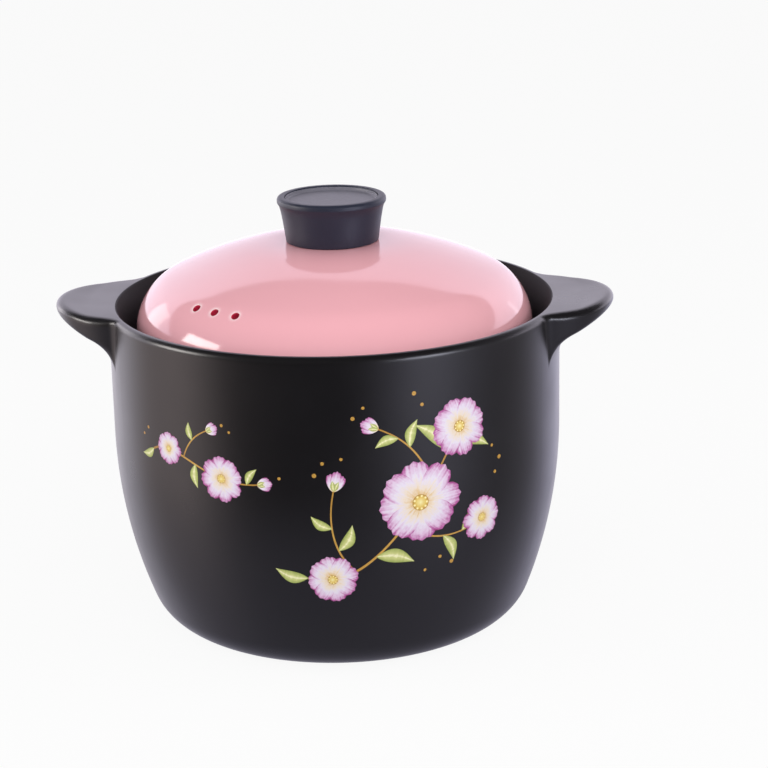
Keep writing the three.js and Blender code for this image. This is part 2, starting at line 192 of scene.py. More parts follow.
def ease(share):
    """A share from 0 to 1 with a soft start and end."""
    share = min(max(share, 0.0), 1.0)
    return share * share * (3 - 2 * share)


def span(start, end, steps):
    """Evenly spaced numbers after start, up to end."""
    return [start + (end - start) * i / steps for i in range(1, steps + 1)]


def arc(centre, radius, start, end, steps):
    """Points along an arc after its start; angles are counted from the outward direction."""
    return [
        Vector((centre[0] + radius * math.cos(a), centre[1] + radius * math.sin(a)))
        for a in span(start, end, steps)]


def rounded(corners, steps=5):
    """A line of (radius, height) or (radius, height, rounding) corners, rounded by arcs."""
    line = []
    for i, corner in enumerate(corners):
        spot = Vector(corner[:2])
        if len(corner) == 2:
            line.append(spot)
            continue
        back = (Vector(corners[i - 1][:2]) - spot).normalized()
        ahead = (Vector(corners[i + 1][:2]) - spot).normalized()
        half = back.angle(ahead) / 2
        centre = spot + (back + ahead).normalized() * (corner[2] / math.sin(half))
        first = spot + back * (corner[2] / math.tan(half)) - centre
        last = spot + ahead * (corner[2] / math.tan(half)) - centre
        turn = math.atan2(first.cross(last), first.dot(last))
        start = math.atan2(first.y, first.x)
        line.append(centre + first)
        line.extend(arc(centre, corner[2], start, start + turn, steps))
    return line


def new_piece(name, mesh, body, slot, materials, *nodes):
    """A finished piece: it rides on a body, and the solids that it stands for are hidden."""
    piece = bpy.data.objects.new(name, mesh)
    bpy.context.scene.collection.objects.link(piece)
    for material in materials:
        mesh.materials.append(material)
    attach(piece, body)
    if nodes:
        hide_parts(*nodes)


def finished_mesh(bm, name):
    """Welds a mesh, turns its faces outward and shades it smooth between its creases."""
    bmesh.ops.remove_doubles(bm, verts=bm.verts, dist=WELD)
    bmesh.ops.recalc_face_normals(bm, faces=bm.faces)
    mesh = bpy.data.meshes.new(name)
    bm.to_mesh(mesh)
    bm.free()
    mesh.shade_smooth()
    mesh.set_sharp_from_angle(angle=CREASE)
    return mesh


def skin(columns, ring=False):
    """A closed skin over columns of points that go round the axis.

    A ring's columns are closed loops; others start and end on the axis.
    """
    bm = bmesh.new()
    verts = [[bm.verts.new(spot) for spot in column] for column in columns]
    rows = len(columns[0])
    for i, left in enumerate(verts):
        right = verts[(i + 1) % len(verts)]
        for j in range(rows if ring else rows - 1):
            k = (j + 1) % rows
            bm.faces.new((left[j], right[j], right[k], left[k]))
    return bm


def turned(profile, steps, ring=False):
    """A profile turned about the axis."""
    angles = span(0, math.tau, steps)
    return skin([[polar(r, a, z) for r, z in profile] for a in angles], ring)


def set_node(tree, node, values):
    """Gives a node its properties, and its inputs constants or links from sockets and nodes.

    An input goes by its name or by its place among the inputs in use, and a node stands for the
    first of its outputs in use.
    """
    for key, value in values.items():
        if isinstance(key, str) and hasattr(node, key):
            setattr(node, key, value)
            continue
        used = [socket for socket in node.inputs if socket.enabled]
        target = next(socket for i, socket in enumerate(used) if key in (i, socket.name))
        if isinstance(value, bpy.types.Node):
            value = next(output for output in value.outputs if output.enabled)
        if isinstance(value, bpy.types.NodeSocket):
            tree.links.new(value, target)
        else:
            target.default_value = value


def add_node(tree, kind, values, stops=()):
    """Adds a node with its settings and links, and the stops of its ramp."""
    node = tree.nodes.new(kind)
    set_node(tree, node, values)
    for i, (position, tone) in enumerate(stops):
        elements = node.color_ramp.elements
        element = elements[i] if i < len(elements) else elements.new(position)
        element.position = position
        element.color = [*(linear(tone) if isinstance(tone, str) else tone), 1]
    return node


def new_material(name):
    """A material with its node tree, its shader and the coordinates of the object it is on."""
    material = bpy.data.materials.new(name)
    material.use_nodes = True
    tree = material.node_tree
    place = add_node(tree, "ShaderNodeTexCoord", {}).outputs["Object"]
    return material, tree, tree.nodes["Principled BSDF"], place


def per(size):
    """Pattern scale for features of a size in metres."""
    return 1 / size


def shaded(rgb, share=1.0):
    """A colour for a socket, darker or lighter by a share."""
    return [c * share for c in rgb] + [1]


# Materials

WAVE_SPACING = math.tau / 20    # a wave texture's rings are this far apart at a scale of 1
BRISTLES = 11.0                 # brush streaks across a printed shape


def satin_black_glaze(colours):
    """Satin black glaze fired on stoneware.

    Near black, with a soft sheen that wavers a little where the glaze ran, and a fine
    orange-peel surface.
    """
    material, tree, shader, place = new_material("satin black glaze on stoneware")
    run = add_node(
        tree, "ShaderNodeTexNoise", {"Scale": per(38 * MM), "Detail": 3.0, "Vector": place})
    peel = add_node(
        tree, "ShaderNodeTexNoise", {"Scale": per(2.2 * MM), "Detail": 2.0, "Vector": place})
    tint = add_node(tree, "ShaderNodeMix", {
        "data_type": "RGBA", "Factor": run, "A": shaded(colours.pot_glaze),
        "B": shaded(colours.pot_glaze, 1.5)})
    sheen = add_node(tree, "ShaderNodeMapRange", {
        "Value": run, "From Min": 0.3, "From Max": 0.7, "To Min": 0.27, "To Max": 0.34})
    bump = add_node(tree, "ShaderNodeBump", {
        "Height": peel, "Strength": 0.1, "Distance": 0.02 * MM})
    set_node(tree, shader, {"Base Color": tint, "Roughness": sheen, "IOR": 1.54, "Normal": bump})
    return material


def inside_glaze_painted_shade():
    """Black glaze inside the pot, made matt and less glossy than outside as painted shade, with
    faint clouds.
    """
    material, tree, shader, place = new_material("black glaze inside, dulled as painted shade")
    inside_mottle = add_node(
        tree, "ShaderNodeTexNoise", {"Scale": per(24 * MM), "Detail": 3.0, "Vector": place})
    tone = add_node(
        tree, "ShaderNodeValToRGB", {"Fac": inside_mottle}, [(0.3, "#120E0F"), (0.7, "#1B1617")])
    # The low IOR and the roughness dim the inside's reflections: painted shade.
    set_node(tree, shader, {"Base Color": tone, "Roughness": 0.6, "IOR": 1.3})
    return material


def bare_clay():
    """Bare fired stoneware clay: matt, sandy and slightly freckled."""
    material, tree, shader, place = new_material("bare fired stoneware")
    sand = add_node(
        tree, "ShaderNodeTexNoise", {"Scale": per(0.9 * MM), "Detail": 4.0, "Vector": place})
    tone = add_node(
        tree, "ShaderNodeValToRGB", {"Fac": sand},
        [(0.3, "#A98B70"), (0.52, "#C9AF94"), (0.75, "#D8C4AC")])
    bump = add_node(tree, "ShaderNodeBump", {
        "Height": sand, "Strength": 0.6, "Distance": 0.06 * MM})
    set_node(tree, shader, {"Base Color": tone, "Roughness": 0.88, "Normal": bump})
    return material


def pink_gloss_glaze(colours):
    """Pink gloss glaze on a cast lid.

    Glassy, so it mirrors the studio; a little cloudy in colour, and paler where it
    thins out round the vents.
    """
    material, tree, shader, place = new_material("pink gloss glaze")
    cloud = add_node(
        tree, "ShaderNodeTexNoise", {"Scale": per(30 * MM), "Detail": 4.0, "Vector": place})
    wave = add_node(
        tree, "ShaderNodeTexNoise", {"Scale": per(16 * MM), "Detail": 1.0, "Vector": place})
    thin = add_node(tree, "ShaderNodeAttribute", {"attribute_name": "thin_glaze"})
    tint = add_node(tree, "ShaderNodeMix", {
        "data_type": "RGBA", "Factor": cloud, "A": shaded(colours.lid_glaze, 0.97),
        "B": shaded(colours.lid_glaze)})
    pale = add_node(tree, "ShaderNodeMix", {
        "data_type": "RGBA", "Factor": thin.outputs["Fac"], "A": tint,
        "B": shaded(linear("#FBDADC"))})
    bump = add_node(tree, "ShaderNodeBump", {
        "Height": wave, "Strength": 0.12, "Distance": 0.05 * MM})
    set_node(tree, shader, {"Base Color": pale, "Roughness": 0.1, "IOR": 1.5, "Normal": bump})
    return material


def painted_bore_shade():
    """Painted shade in a narrow vent bore: deep red for its shadow and for the light that the pink
    glaze bounces round inside, with a wet gloss.
    """
    material, tree, shader, place = new_material("painted shade in a vent bore")
    bore_mottle = add_node(
        tree, "ShaderNodeTexNoise", {"Scale": per(2 * MM), "Detail": 2.0, "Vector": place})
    tone = add_node(
        tree, "ShaderNodeValToRGB", {"Fac": bore_mottle}, [(0.3, "#B3233F"), (0.7, "#CC3350")])
    set_node(tree, shader, {"Base Color": tone, "Roughness": 0.15})
    return material


def moulded_phenolic(name, tint, roughness, grit, depth):
    """Moulded phenolic, dark and faintly violet: a fine mould grain breaks up its sheen."""
    material, tree, shader, place = new_material(name)
    grain = add_node(
        tree, "ShaderNodeTexNoise", {"Scale": per(grit), "Detail": 3.0, "Vector": place})
    tone = add_node(tree, "ShaderNodeMix", {
        "data_type": "RGBA", "Factor": grain, "A": shaded(tint, 0.85), "B": shaded(tint, 1.2)})
    sheen = add_node(tree, "ShaderNodeMapRange", {
        "Value": grain, "To Min": roughness - 0.04, "To Max": roughness + 0.06})
    bump = add_node(tree, "ShaderNodeBump", {"Height": grain, "Strength": 0.4, "Distance": depth})
    set_node(tree, shader, {"Base Color": tone, "Roughness": sheen, "IOR": 1.47, "Normal": bump})
    return material


def moulded_silicone(name, dark, light):
    """Moulded silicone: soft matt bloom with faint dust-like mottling."""
    material, tree, shader, place = new_material(name)
    bloom = add_node(
        tree, "ShaderNodeTexNoise", {"Scale": per(1.5 * MM), "Detail": 3.0, "Vector": place})
    tone = add_node(tree, "ShaderNodeValToRGB", {"Fac": bloom}, [(0.35, dark), (0.7, light)])
    set_node(tree, shader, {"Base Color": tone, "Roughness": 0.62, "IOR": 1.41})
    return material


def turned_metal(name, dark, light, roughness):
    """Turned metal, bright from the tool or dulled by tumbling.

    The tool's fine rings catch the light; they are drawn about 1.6 mm apart so that they show.
    """
    material, tree, shader, place = new_material(name)
    rings = add_node(tree, "ShaderNodeTexWave", {
        "wave_type": "RINGS", "rings_direction": "Z", "Scale": WAVE_SPACING * per(1.57 * MM),
        "Distortion": 1.5, "Detail": 2.0, "Vector": place})
    tone = add_node(
        tree, "ShaderNodeValToRGB", {"Fac": rings.outputs["Fac"]}, [(0.0, dark), (1.0, light)])
    sheen = add_node(tree, "ShaderNodeMapRange", {
        "Value": rings.outputs["Fac"], "To Min": roughness, "To Max": roughness + 0.1})
    set_node(tree, shader, {"Base Color": tone, "Roughness": sheen, "Metallic": 1.0})
    return material


def printed_enamel(name, stops, streak, roughness):
    """Ceramic ink fired into the glaze.

    Colour runs along each printed shape, broken by grain and by fine brush streaks.
    """
    material, tree, shader, place = new_material(name)
    shape = add_node(tree, "ShaderNodeUVMap", {"uv_map": "shape"})
    axes = add_node(tree, "ShaderNodeSeparateXYZ", {"Vector": shape})
    grain = add_node(
        tree, "ShaderNodeTexNoise", {"Scale": per(1.6 * MM), "Detail": 3.0, "Vector": place})
    bristles = add_node(tree, "ShaderNodeTexNoise", {
        "noise_dimensions": "1D", "Scale": BRISTLES, "Detail": 2.0, "W": axes.outputs["X"]})
    ink = add_node(tree, "ShaderNodeMath", {"operation": "ADD", 0: grain, 1: bristles})
    shift = add_node(tree, "ShaderNodeMath", {
        "operation": "MULTIPLY_ADD", 0: ink, 1: streak, 2: -streak})
    shade = add_node(tree, "ShaderNodeMath", {
        "operation": "ADD", "use_clamp": True, 0: axes.outputs["Y"], 1: shift})
    tone = add_node(tree, "ShaderNodeValToRGB", {"Fac": shade}, stops)
    set_node(tree, shader, {"Base Color": tone, "Roughness": roughness, "IOR": 1.5})
    return material


# Pot and handles

FOOT_CORNER, FOOT_EDGE = 1 * MM, 0.7 * MM   # roundings above and under the foot ring's inside
BARE_FOOT = 0.9 * MM        # the foot is unglazed up to this height
HANDLE_SPAN = (16, 25)      # degrees between which the wall turns into a handle
SIDE_LEAD = 4 * MM          # rows that follow the handles start this far below their feet
EDGE_BLEND = 10 * MM        # the lip's edge turns into a handle's over this reach
LEDGE_EDGE = 2 * MM         # rounding of the ledge's corners
LEDGE_DEPTH = 6 * MM        # upright edge of the ledge
LEDGE_BLEND = 8 * MM        # rounding between the ledge's underside and the wall
TIP_SOFTNESS = 0.1          # how gently the handle's end starts to turn up


def wall_radius(s, height):
    """Outside of the plain wall at a height."""
    if height >= s.belly_height:
        return s.radius
    drop = s.belly_height - height
    return s.radius - s.belly_arc + math.sqrt(s.belly_arc ** 2 - drop ** 2)


def belly_corner(s, belly, level, rounding):
    """Centre and end angle of the rounding between a level line and the belly's curve."""
    drop = s.belly_height - level - rounding
    run = math.sqrt((belly - rounding) ** 2 - drop ** 2)
    return (s.radius - s.belly_arc + run, level + rounding), math.atan2(-drop, run)


def plan_radius(s, angle, inset, height):
    """Axis to the outline with its handles, at a height and moved in by an inset."""
    angle = abs(math.remainder(angle, math.pi))
    narrow = s.taper * min((s.rim_height - height) / (s.rim_height - s.handle_foot), 1)
    nose, crease = s.nose - narrow, s.crease - narrow
    middle = s.handle_tip - s.nose
    to_axis, to_middle = s.radius + crease, nose + crease
    x = (to_axis ** 2 - to_middle ** 2 + middle ** 2) / (2 * middle)
    y = math.sqrt(to_axis ** 2 - x ** 2)
    if angle >= math.atan2(y, x):
        return s.radius - inset
    share = (nose - inset) / to_middle
    if angle >= math.atan2(y * share, middle + (x - middle) * share):
        level = x * math.cos(angle) + y * math.sin(angle)
        return level - math.sqrt(level ** 2 - to_axis ** 2 + (crease + inset) ** 2)
    side = middle * math.sin(angle)
    return middle * math.cos(angle) + math.sqrt((nose - inset) ** 2 - side ** 2)


def column_angles():
    """Angles round the pot, closer together where the wall turns into a handle."""
    start, end = (math.radians(a) for a in HANDLE_SPAN)
    quarter = span(0, start, 22) + span(start, end, 36) + span(end, math.pi / 2, 34)
    half = [0.0] + quarter + [math.pi - a for a in reversed(quarter[:-1])]
    return half + [a + math.pi for a in half]


def tip_lift(s, radius):
    """How far the handle's upturned end stands above its level root."""
    share = max(radius - s.handle_tip + s.upturn, 0) / s.upturn
    bend, full = (math.hypot(x, TIP_SOFTNESS) - TIP_SOFTNESS for x in (share, 1))
    return s.tip_rise * bend / full


def underside_reach(s, height):
    """How far the handle's underside stands off the wall at a height."""
    rise = height - s.handle_foot
    if rise <= 0:
        return 0.0
    tangent = s.hollow * math.cos(s.slope)
    if rise < tangent:
        return s.hollow - math.sqrt(s.hollow ** 2 - rise ** 2)
    return s.hollow * (1 - math.sin(s.slope)) + (rise - tangent) / math.tan(s.slope)


def soft_min(a, b, softness):
    """The smaller of two lengths, eased where they are nearly the same."""
    softness = min(softness, a, b)
    if softness <= 0:
        return min(a, b)
    return min(a, b) - max(softness - abs(a - b), 0) ** 2 / (4 * softness)


def pot_columns(s):
    """Columns of points from the foot up the outside, over the rim and down to the floor."""
    centre = (s.radius - s.belly_arc, s.belly_height)
    heel, heel_angle = belly_corner(s, s.belly_arc, 0, s.heel)
    inner_arc = s.belly_arc - s.wall
    floor_height = s.foot_height + s.floor
    corner, corner_angle = belly_corner(s, inner_arc, floor_height, s.floor_corner)
    foot = heel[0] - s.foot_width
    side_foot = s.handle_foot - SIDE_LEAD
    lower = rounded([
        (0, s.foot_height), (0.5 * foot, s.foot_height),
        (foot, s.foot_height, FOOT_CORNER), (foot, 0, FOOT_EDGE), (heel[0] - EDGE_ROW, 0)])
    lower += [Vector((heel[0], 0))]
    lower += arc(heel, s.heel, -math.pi / 2, heel_angle, 16)
    lower += arc(centre, s.belly_arc, heel_angle, 0, 22)
    lower += [Vector((s.radius, z)) for z in span(s.belly_height, side_foot, 8)]
    inner_wall = s.radius - s.wall
    seat_height = s.rim_height - s.seat_depth
    ledge_foot = seat_height - LEDGE_DEPTH
    inner = rounded([
        (s.radius, s.rim_height),
        (s.mouth, s.rim_height, s.lip_inner),
        (s.seat, seat_height, LEDGE_EDGE),
        (s.ledge, seat_height, LEDGE_EDGE),
        (s.ledge, ledge_foot, LEDGE_EDGE),
        (inner_wall, ledge_foot - (inner_wall - s.ledge), LEDGE_BLEND),
        (inner_wall, s.belly_height)])[1:]
    inner += arc(centre, inner_arc, 0, corner_angle, 20)
    inner += arc(corner, s.floor_corner, corner_angle, -math.pi / 2, 10)
    inner += [Vector((share * corner[0], floor_height)) for share in (0.66, 0.33, 0)]
    columns = []
    for angle in column_angles():
        share = ease((plan_radius(s, angle, 0, s.rim_height) - s.radius) / EDGE_BLEND)
        inset = s.lip_edge + (s.handle_edge - s.lip_edge) * share
        drop = s.lip_drop + (s.handle_drop - s.lip_drop) * share
        side_top = s.rim_height - drop
        side = [(0, z) for z in span(side_foot, side_top, 34)]
        side += [
            (inset * (1 - math.cos(turn)), side_top + drop * math.sin(turn))
            for turn in span(0, math.pi / 2, 10)]
        line = list(lower)
        for inward, z in side:
            out = plan_radius(s, angle, inward, z) - s.radius
            line.append((s.radius + soft_min(out, underside_reach(s, z), s.under_edge), z))
        for r in span(line[-1][0], inner[0].x, 10)[:-1]:
            line.append((r, s.rim_height))
        line.extend(inner)
        columns.append([polar(r, angle, z + tip_lift(s, r)) for r, z in line])
    return columns


class STOCKPOT_OT_pot(bpy.types.Operator):
    """Build the glazed pot with its two handles in one skin"""

    bl_idname = "stockpot.pot"
    bl_label = "Pot and handles"

    def execute(self, context):
        s = sizes(context, "pot")
        finishes = [
            satin_black_glaze(sizes(context, "colours")), bare_clay(), inside_glaze_painted_shade()]
        mesh = finished_mesh(skin(pot_columns(s)), "pot_and_handles")
        for face in mesh.polygons:
            within = face.center.xy.length < s.mouth + 0.5 * s.lip_inner
            inward = face.normal.z > 0.5 or face.normal.xy.dot(face.center.xy) < 0
            # Inside faces take the dulled glaze that paints the shade in the pot; low faces stay
            # bare clay.
            if face.center.z > 2 * s.foot_height and within and inward:
                face.material_index = 2
            elif face.center.z < BARE_FOOT:
                face.material_index = 1
        new_piece(
            "pot_and_handles", mesh, "pot", "body_glaze", finishes,
            "pot_body", "handle_right", "handle_left")
        return {"FINISHED"}


# Dome lid

VENTS = 3
WINDOW = 8                          # grid cells along a side of the square that holds a vent
PITCH_CELLS = 10                    # grid cells from vent to vent
PLAIN_CELLS = 134                   # grid cells round the rest of the lid
VENT_STEP = math.radians(1.88)      # a grid cell up the shoulder
SHADED_BORE_ROWS = range(8, 11)            # rows of faces inside a vent, from its rounded edge inward, painted dark red as shade
PALE_REACH, PALE_SHARE = 2.2 * MM, 0.85     # how far and how much the glaze pales round a vent
EDGE_START = math.radians(-4)       # where on the shoulder's arc the profile starts
HOLE_EDGE = 0.5 * MM                # roundings of the screw hole, the flange and the lid's edge
FLANGE_CORNER, FLANGE_EDGE, FLANGE_ROOT, BASE_EDGE = 0.4 * MM, 1.6 * MM, 1 * MM, 0.9 * MM
BARE_BASE = 0.1 * MM                # the resting face is unglazed up to this far above it


class LidShape:
    """Places on the lid's shoulder and the closed profile of the lid."""

    def __init__(self, s):
        self.s = s
        self.shoulder = (s.radius - s.shoulder, s.base + s.shoulder * math.sin(s.edge_turn))
        rise = math.sqrt((s.dome - s.shoulder) ** 2 - self.shoulder[0] ** 2)
        self.dome = (0, self.shoulder[1] - rise)
        self.joint = math.atan2(rise, self.shoulder[0])
        self.vent_angle = math.acos((s.vent_place - self.shoulder[0]) / s.shoulder)
        self.cell = s.vent_pitch / PITCH_CELLS
        self.profile = self.closed_profile()

    def closed_profile(self):
        """Up the outside, over the land, through the hole and back along the inside."""
        s = self.s
        inner_dome = s.dome - s.thickness
        inner_shoulder = s.shoulder - s.thickness
        flange_inner = s.flange - s.flange_wall
        low = self.vent_angle - VENT_STEP * WINDOW / 2
        high = self.vent_angle + VENT_STEP * WINDOW / 2
        line = [self.on_shoulder(s.shoulder, EDGE_START)]
        line += arc(self.shoulder, s.shoulder, EDGE_START, low, 18)
        self.outer_row = len(line) - 1
        line += arc(self.shoulder, s.shoulder, low, high, WINDOW)
        line += arc(self.shoulder, s.shoulder, high, self.joint, 1)
        blend_angle = math.acos(s.land_blend / s.dome)
        line += arc(self.dome, s.dome, self.joint, blend_angle, 14)
        land_height = self.dome[1] + math.sqrt(s.dome ** 2 - s.land ** 2)
        drop = land_height - line[-1].y
        level = s.land_blend - 2 * drop * math.tan(blend_angle)
        for share in span(1, 0, 8):
            line.append(Vector((
                level + (s.land_blend - level) * share, land_height - drop * share ** 2)))
        under_angle = math.acos(s.under_land / inner_dome)
        under_height = self.dome[1] + inner_dome * math.sin(under_angle)
        line += rounded([
            (0.6 * level, land_height), (s.hole, land_height, HOLE_EDGE),
            (s.hole, under_height, HOLE_EDGE), (s.under_land - EDGE_ROW, under_height)])
        line += [Vector((s.under_land, under_height))]
        line += arc(self.dome, inner_dome, under_angle, self.joint, 16)
        line += arc(self.shoulder, inner_shoulder, self.joint, high, 1)
        self.inner_row = len(line) - 1
        line += arc(self.shoulder, inner_shoulder, high, low, WINDOW)
        flange_angle = math.acos((flange_inner - self.shoulder[0]) / inner_shoulder)
        top = self.on_shoulder(inner_shoulder, flange_angle)
        edge = self.on_shoulder(s.shoulder, -s.edge_turn)
        line += rounded([
            line[-1], (top.x, top.y, FLANGE_CORNER), (flange_inner, s.flange_foot, FLANGE_EDGE),
            (s.flange, s.flange_foot, FLANGE_EDGE), (s.flange, s.base, FLANGE_ROOT),
            (edge.x, s.base, BASE_EDGE), line[0]])[1:-1]
        return line

    def on_shoulder(self, radius, angle):
        """A profile point on a circle about the shoulder's centre."""
        return Vector((
            self.shoulder[0] + radius * math.cos(angle),
            self.shoulder[1] + radius * math.sin(angle)))

    def bearings(self):
        """Angles round the lid: even cells across the vents, wider ones elsewhere."""
        cells = (VENTS - 1) * PITCH_CELLS + WINDOW
        first = self.s.vent_bearing - self.cell * cells / 2
        across = [first] + span(first, first + self.cell * cells, cells)
        return across + span(across[-1], first + math.tau, PLAIN_CELLS)[:-1]

    def beside_vent(self, bearing, radius, x, y):
        """A point x along and y up from a vent's middle, on an arc about the shoulder's centre."""
        spot = self.on_shoulder(radius, self.vent_angle + y / radius)
        middle = self.on_shoulder(radius, self.vent_angle)
        return polar(spot.x, bearing + x / middle.x, spot.y)


def square_loop():
    """Cell corners round a vent's square, from its lower left corner, in cells from its middle."""
    half = WINDOW / 2
    steps = [i - half for i in range(WINDOW)]
    return (
        [(i, -half) for i in steps] + [(half, i) for i in steps]
        + [(-i, half) for i in steps] + [(-half, -i) for i in steps])


def vent_loops(shape, bearing):
    """Loops of points from the square on the outside through a vent to the square inside."""
    s = shape.s
    corners = square_loop()
    turns = [math.radians(-135 + 360 * k / len(corners)) for k in range(len(corners))]

    def surface(radius, hole, shares):
        middle = shape.on_shoulder(radius, shape.vent_angle)
        loops = []
        for share in shares:
            loop = []
            for (i, j), turn in zip(corners, turns):
                x = i * shape.cell * middle.x * (1 - share) + hole * math.cos(turn) * share
                y = j * VENT_STEP * radius * (1 - share) + hole * math.sin(turn) * share
                loop.append(shape.beside_vent(bearing, radius, x, y))
            loops.append(loop)
        return loops

    inner = s.shoulder - s.thickness
    wide = s.vent + s.vent_edge
    loops = surface(s.shoulder, wide, (0, 0.3, 0.55, 0.75, 0.9, 1))
    for turn in span(0, math.pi / 2, 5):
        hole = wide - s.vent_edge * math.sin(turn)
        depth = s.vent_edge * (1 - math.cos(turn))
        loops.append([
            shape.beside_vent(
                bearing, s.shoulder - depth, hole * math.cos(t), hole * math.sin(t))
            for t in turns])
    loops += reversed(surface(inner, s.vent, (0, 0.4, 0.75, 1)))
    return loops


def lid_mesh(s):
    """The lid with real vents, and a mark where its glaze thins out round them."""
    shape = LidShape(s)
    bearings = shape.bearings()
    rows = len(shape.profile)
    bm = bmesh.new()
    verts = [[bm.verts.new(polar(r, b, z)) for r, z in shape.profile] for b in bearings]
    vent_rows = {
        first + k for first in (shape.outer_row, shape.inner_row) for k in range(WINDOW)}
    vent_columns = {v * PITCH_CELLS + k for v in range(VENTS) for k in range(WINDOW)}
    for i, left in enumerate(verts):
        right = verts[(i + 1) % len(verts)]
        for j in range(rows):
            if i in vent_columns and j in vent_rows:
                continue
            k = (j + 1) % rows
            face = bm.faces.new((left[j], right[j], right[k], left[k]))
            face.material_index = int(face.calc_center_median().z < s.base + BARE_BASE)
    middles = []
    for v in range(VENTS):
        bearing = s.vent_bearing + (v - (VENTS - 1) / 2) * s.vent_pitch
        middles.append(shape.beside_vent(bearing, s.shoulder, 0, 0))
        loops = [[bm.verts.new(p) for p in loop] for loop in vent_loops(shape, bearing)]
        for row, (outer, inner) in enumerate(zip(loops, loops[1:])):
            for k in range(len(outer)):
                n = (k + 1) % len(outer)
                face = bm.faces.new((outer[k], outer[n], inner[n], inner[k]))
                # Faces deep in a bore take the painted shade.
                face.material_index = 2 * (row in SHADED_BORE_ROWS)
    mesh = finished_mesh(bm, "lid_glazed")
    thin = mesh.attributes.new("thin_glaze", "FLOAT", "POINT")
    for vert, value in zip(mesh.vertices, thin.data):
        near = min((vert.co - middle).length for middle in middles)
        value.value = PALE_SHARE * ease((s.vent + PALE_REACH - near) / PALE_REACH)
    return mesh


class STOCKPOT_OT_lid(bpy.types.Operator):
    """Build the glazed dome lid with its flange and three vents"""

    bl_idname = "stockpot.lid"
    bl_label = "Dome lid"

    def execute(self, context):
        # The third finish is the painted shade inside the vents.
        finishes = [pink_gloss_glaze(sizes(context, "colours")), bare_clay(), painted_bore_shade()]
        mesh = lid_mesh(sizes(context, "lid"))
        new_piece("lid_glazed", mesh, "lid", "lid_glaze", finishes, "lid_dome")
        return {"FINISHED"}


# Knob

KNOB_STEPS = 128                # columns round the moulding
KNOB_FLARE = (                  # shares of the knob's height and of its flare, up its hollow side
    (0.0, 0.0), (0.25, 0.19), (0.5, 0.40), (0.68, 0.58), (0.8, 0.74))
RIM_BAND = 3 * MM               # upright band under the knob's top
INLAY_EDGE = 1.8 * MM           # height of the disc's raised edge
INLAY_BORDER = 3.2 * MM         # width of its edge and the hollow beside it
INLAY_STEPS, INLAY_ROWS = 216, 52
STIPPLE, STIPPLE_DEPTH = 0.9 * MM, 0.1 * MM
STIPPLE_FADE = 1 * MM           # the stipple starts over this distance from the border


def knob_side(s):
    """The knob's hollow side, from its foot to the start of its rounded rim."""
    height = KNOB_HIGH.z - KNOB_LOW.z
    flare = s.top - s.foot
    return [
        Vector((s.foot + flare * out, KNOB_LOW.z + height * up)) for up, out in KNOB_FLARE]


class STOCKPOT_OT_knob(bpy.types.Operator):
    """Build the knob's moulding and the stippled disc in its top"""

    bl_idname = "stockpot.knob"
    bl_label = "Knob"

    def execute(self, context):
        s = sizes(context, "knob")
        colours = sizes(context, "colours")
        recess = INLAY_HIGH.x + s.gap
        recess_floor = INLAY_LOW.z - s.gap
        web = recess_floor - s.web
        skirt = s.foot - s.skirt
        socket = GASKET_HIGH.x + s.gap
        seat = GASKET_HIGH.z + s.gap
        bore = INSERT_HIGH.x + s.gap
        bore_top = INSERT_HIGH.z + s.gap
        side = knob_side(s)
        profile = rounded([
            (0, bore_top), (bore, bore_top), (bore, seat, 0.4 * MM), (s.boss, seat, 0.6 * MM),
            (s.boss, web, 1 * MM), (skirt, web, 1 * MM), (skirt, seat, 0.3 * MM),
            (socket, seat, 0.3 * MM), (socket, KNOB_LOW.z, 0.2 * MM),
            (s.foot, KNOB_LOW.z, 0.5 * MM), side[1]])[:-1]
        profile += side[1:]
        profile += rounded([
            side[-1], (s.top, KNOB_HIGH.z - RIM_BAND, 1 * MM), (s.top, KNOB_HIGH.z, 1.8 * MM),
            (recess, KNOB_HIGH.z, 0.5 * MM), (recess, recess_floor, 0.5 * MM),
            (0, recess_floor)], 7)[1:]
        mesh = finished_mesh(turned(profile, KNOB_STEPS), "knob_moulding")
        finish = moulded_phenolic(
            "moulded phenolic, satin", colours.phenolic, 0.46, 0.7 * MM, 0.015 * MM)
        new_piece("knob_moulding", mesh, "knob", "knob_phenolic", [finish], "knob_grip")
        self.build_inlay(colours)
        return {"FINISHED"}

    def build_inlay(self, colours):
        """The disc: a raised edge that follows the recess, and a stippled face."""
        radius = INLAY_HIGH.x
        edge = INLAY_HIGH.z + INLAY_EDGE
        face = radius - INLAY_BORDER
        rim = rounded([
            (0, INLAY_LOW.z), (radius, INLAY_LOW.z, 0.3 * MM), (radius, edge, 0.25 * MM),
            (radius - 0.6 * MM, edge, 0.25 * MM), (radius - 1 * MM, INLAY_HIGH.z, 1.3 * MM),
            (face, INLAY_HIGH.z)])
        columns = []
        for a in span(0, math.tau, INLAY_STEPS):
            line = [polar(r, a, z) for r, z in rim]
            for r in span(face, 0, INLAY_ROWS):
                spot = polar(r, a, INLAY_HIGH.z)
                stipple = min(max(0.5 + noise.noise(spot / STIPPLE), 0), 1)
                sink = STIPPLE_DEPTH * stipple * ease((face - r) / STIPPLE_FADE)
                line.append(spot - Vector((0, 0, sink)))
            line[-1] = Vector((0, 0, INLAY_HIGH.z - STIPPLE_DEPTH / 2))
            columns.append(line)
        mesh = finished_mesh(skin(columns), "inlay_disc")
        finish = moulded_phenolic(
            "moulded phenolic, stippled", colours.inlay, 0.5, 0.9 * MM, 0.04 * MM)
        new_piece("inlay_disc", mesh, "knob", "inlay_phenolic", [finish], "knob_inlay")


# Fixings under the knob

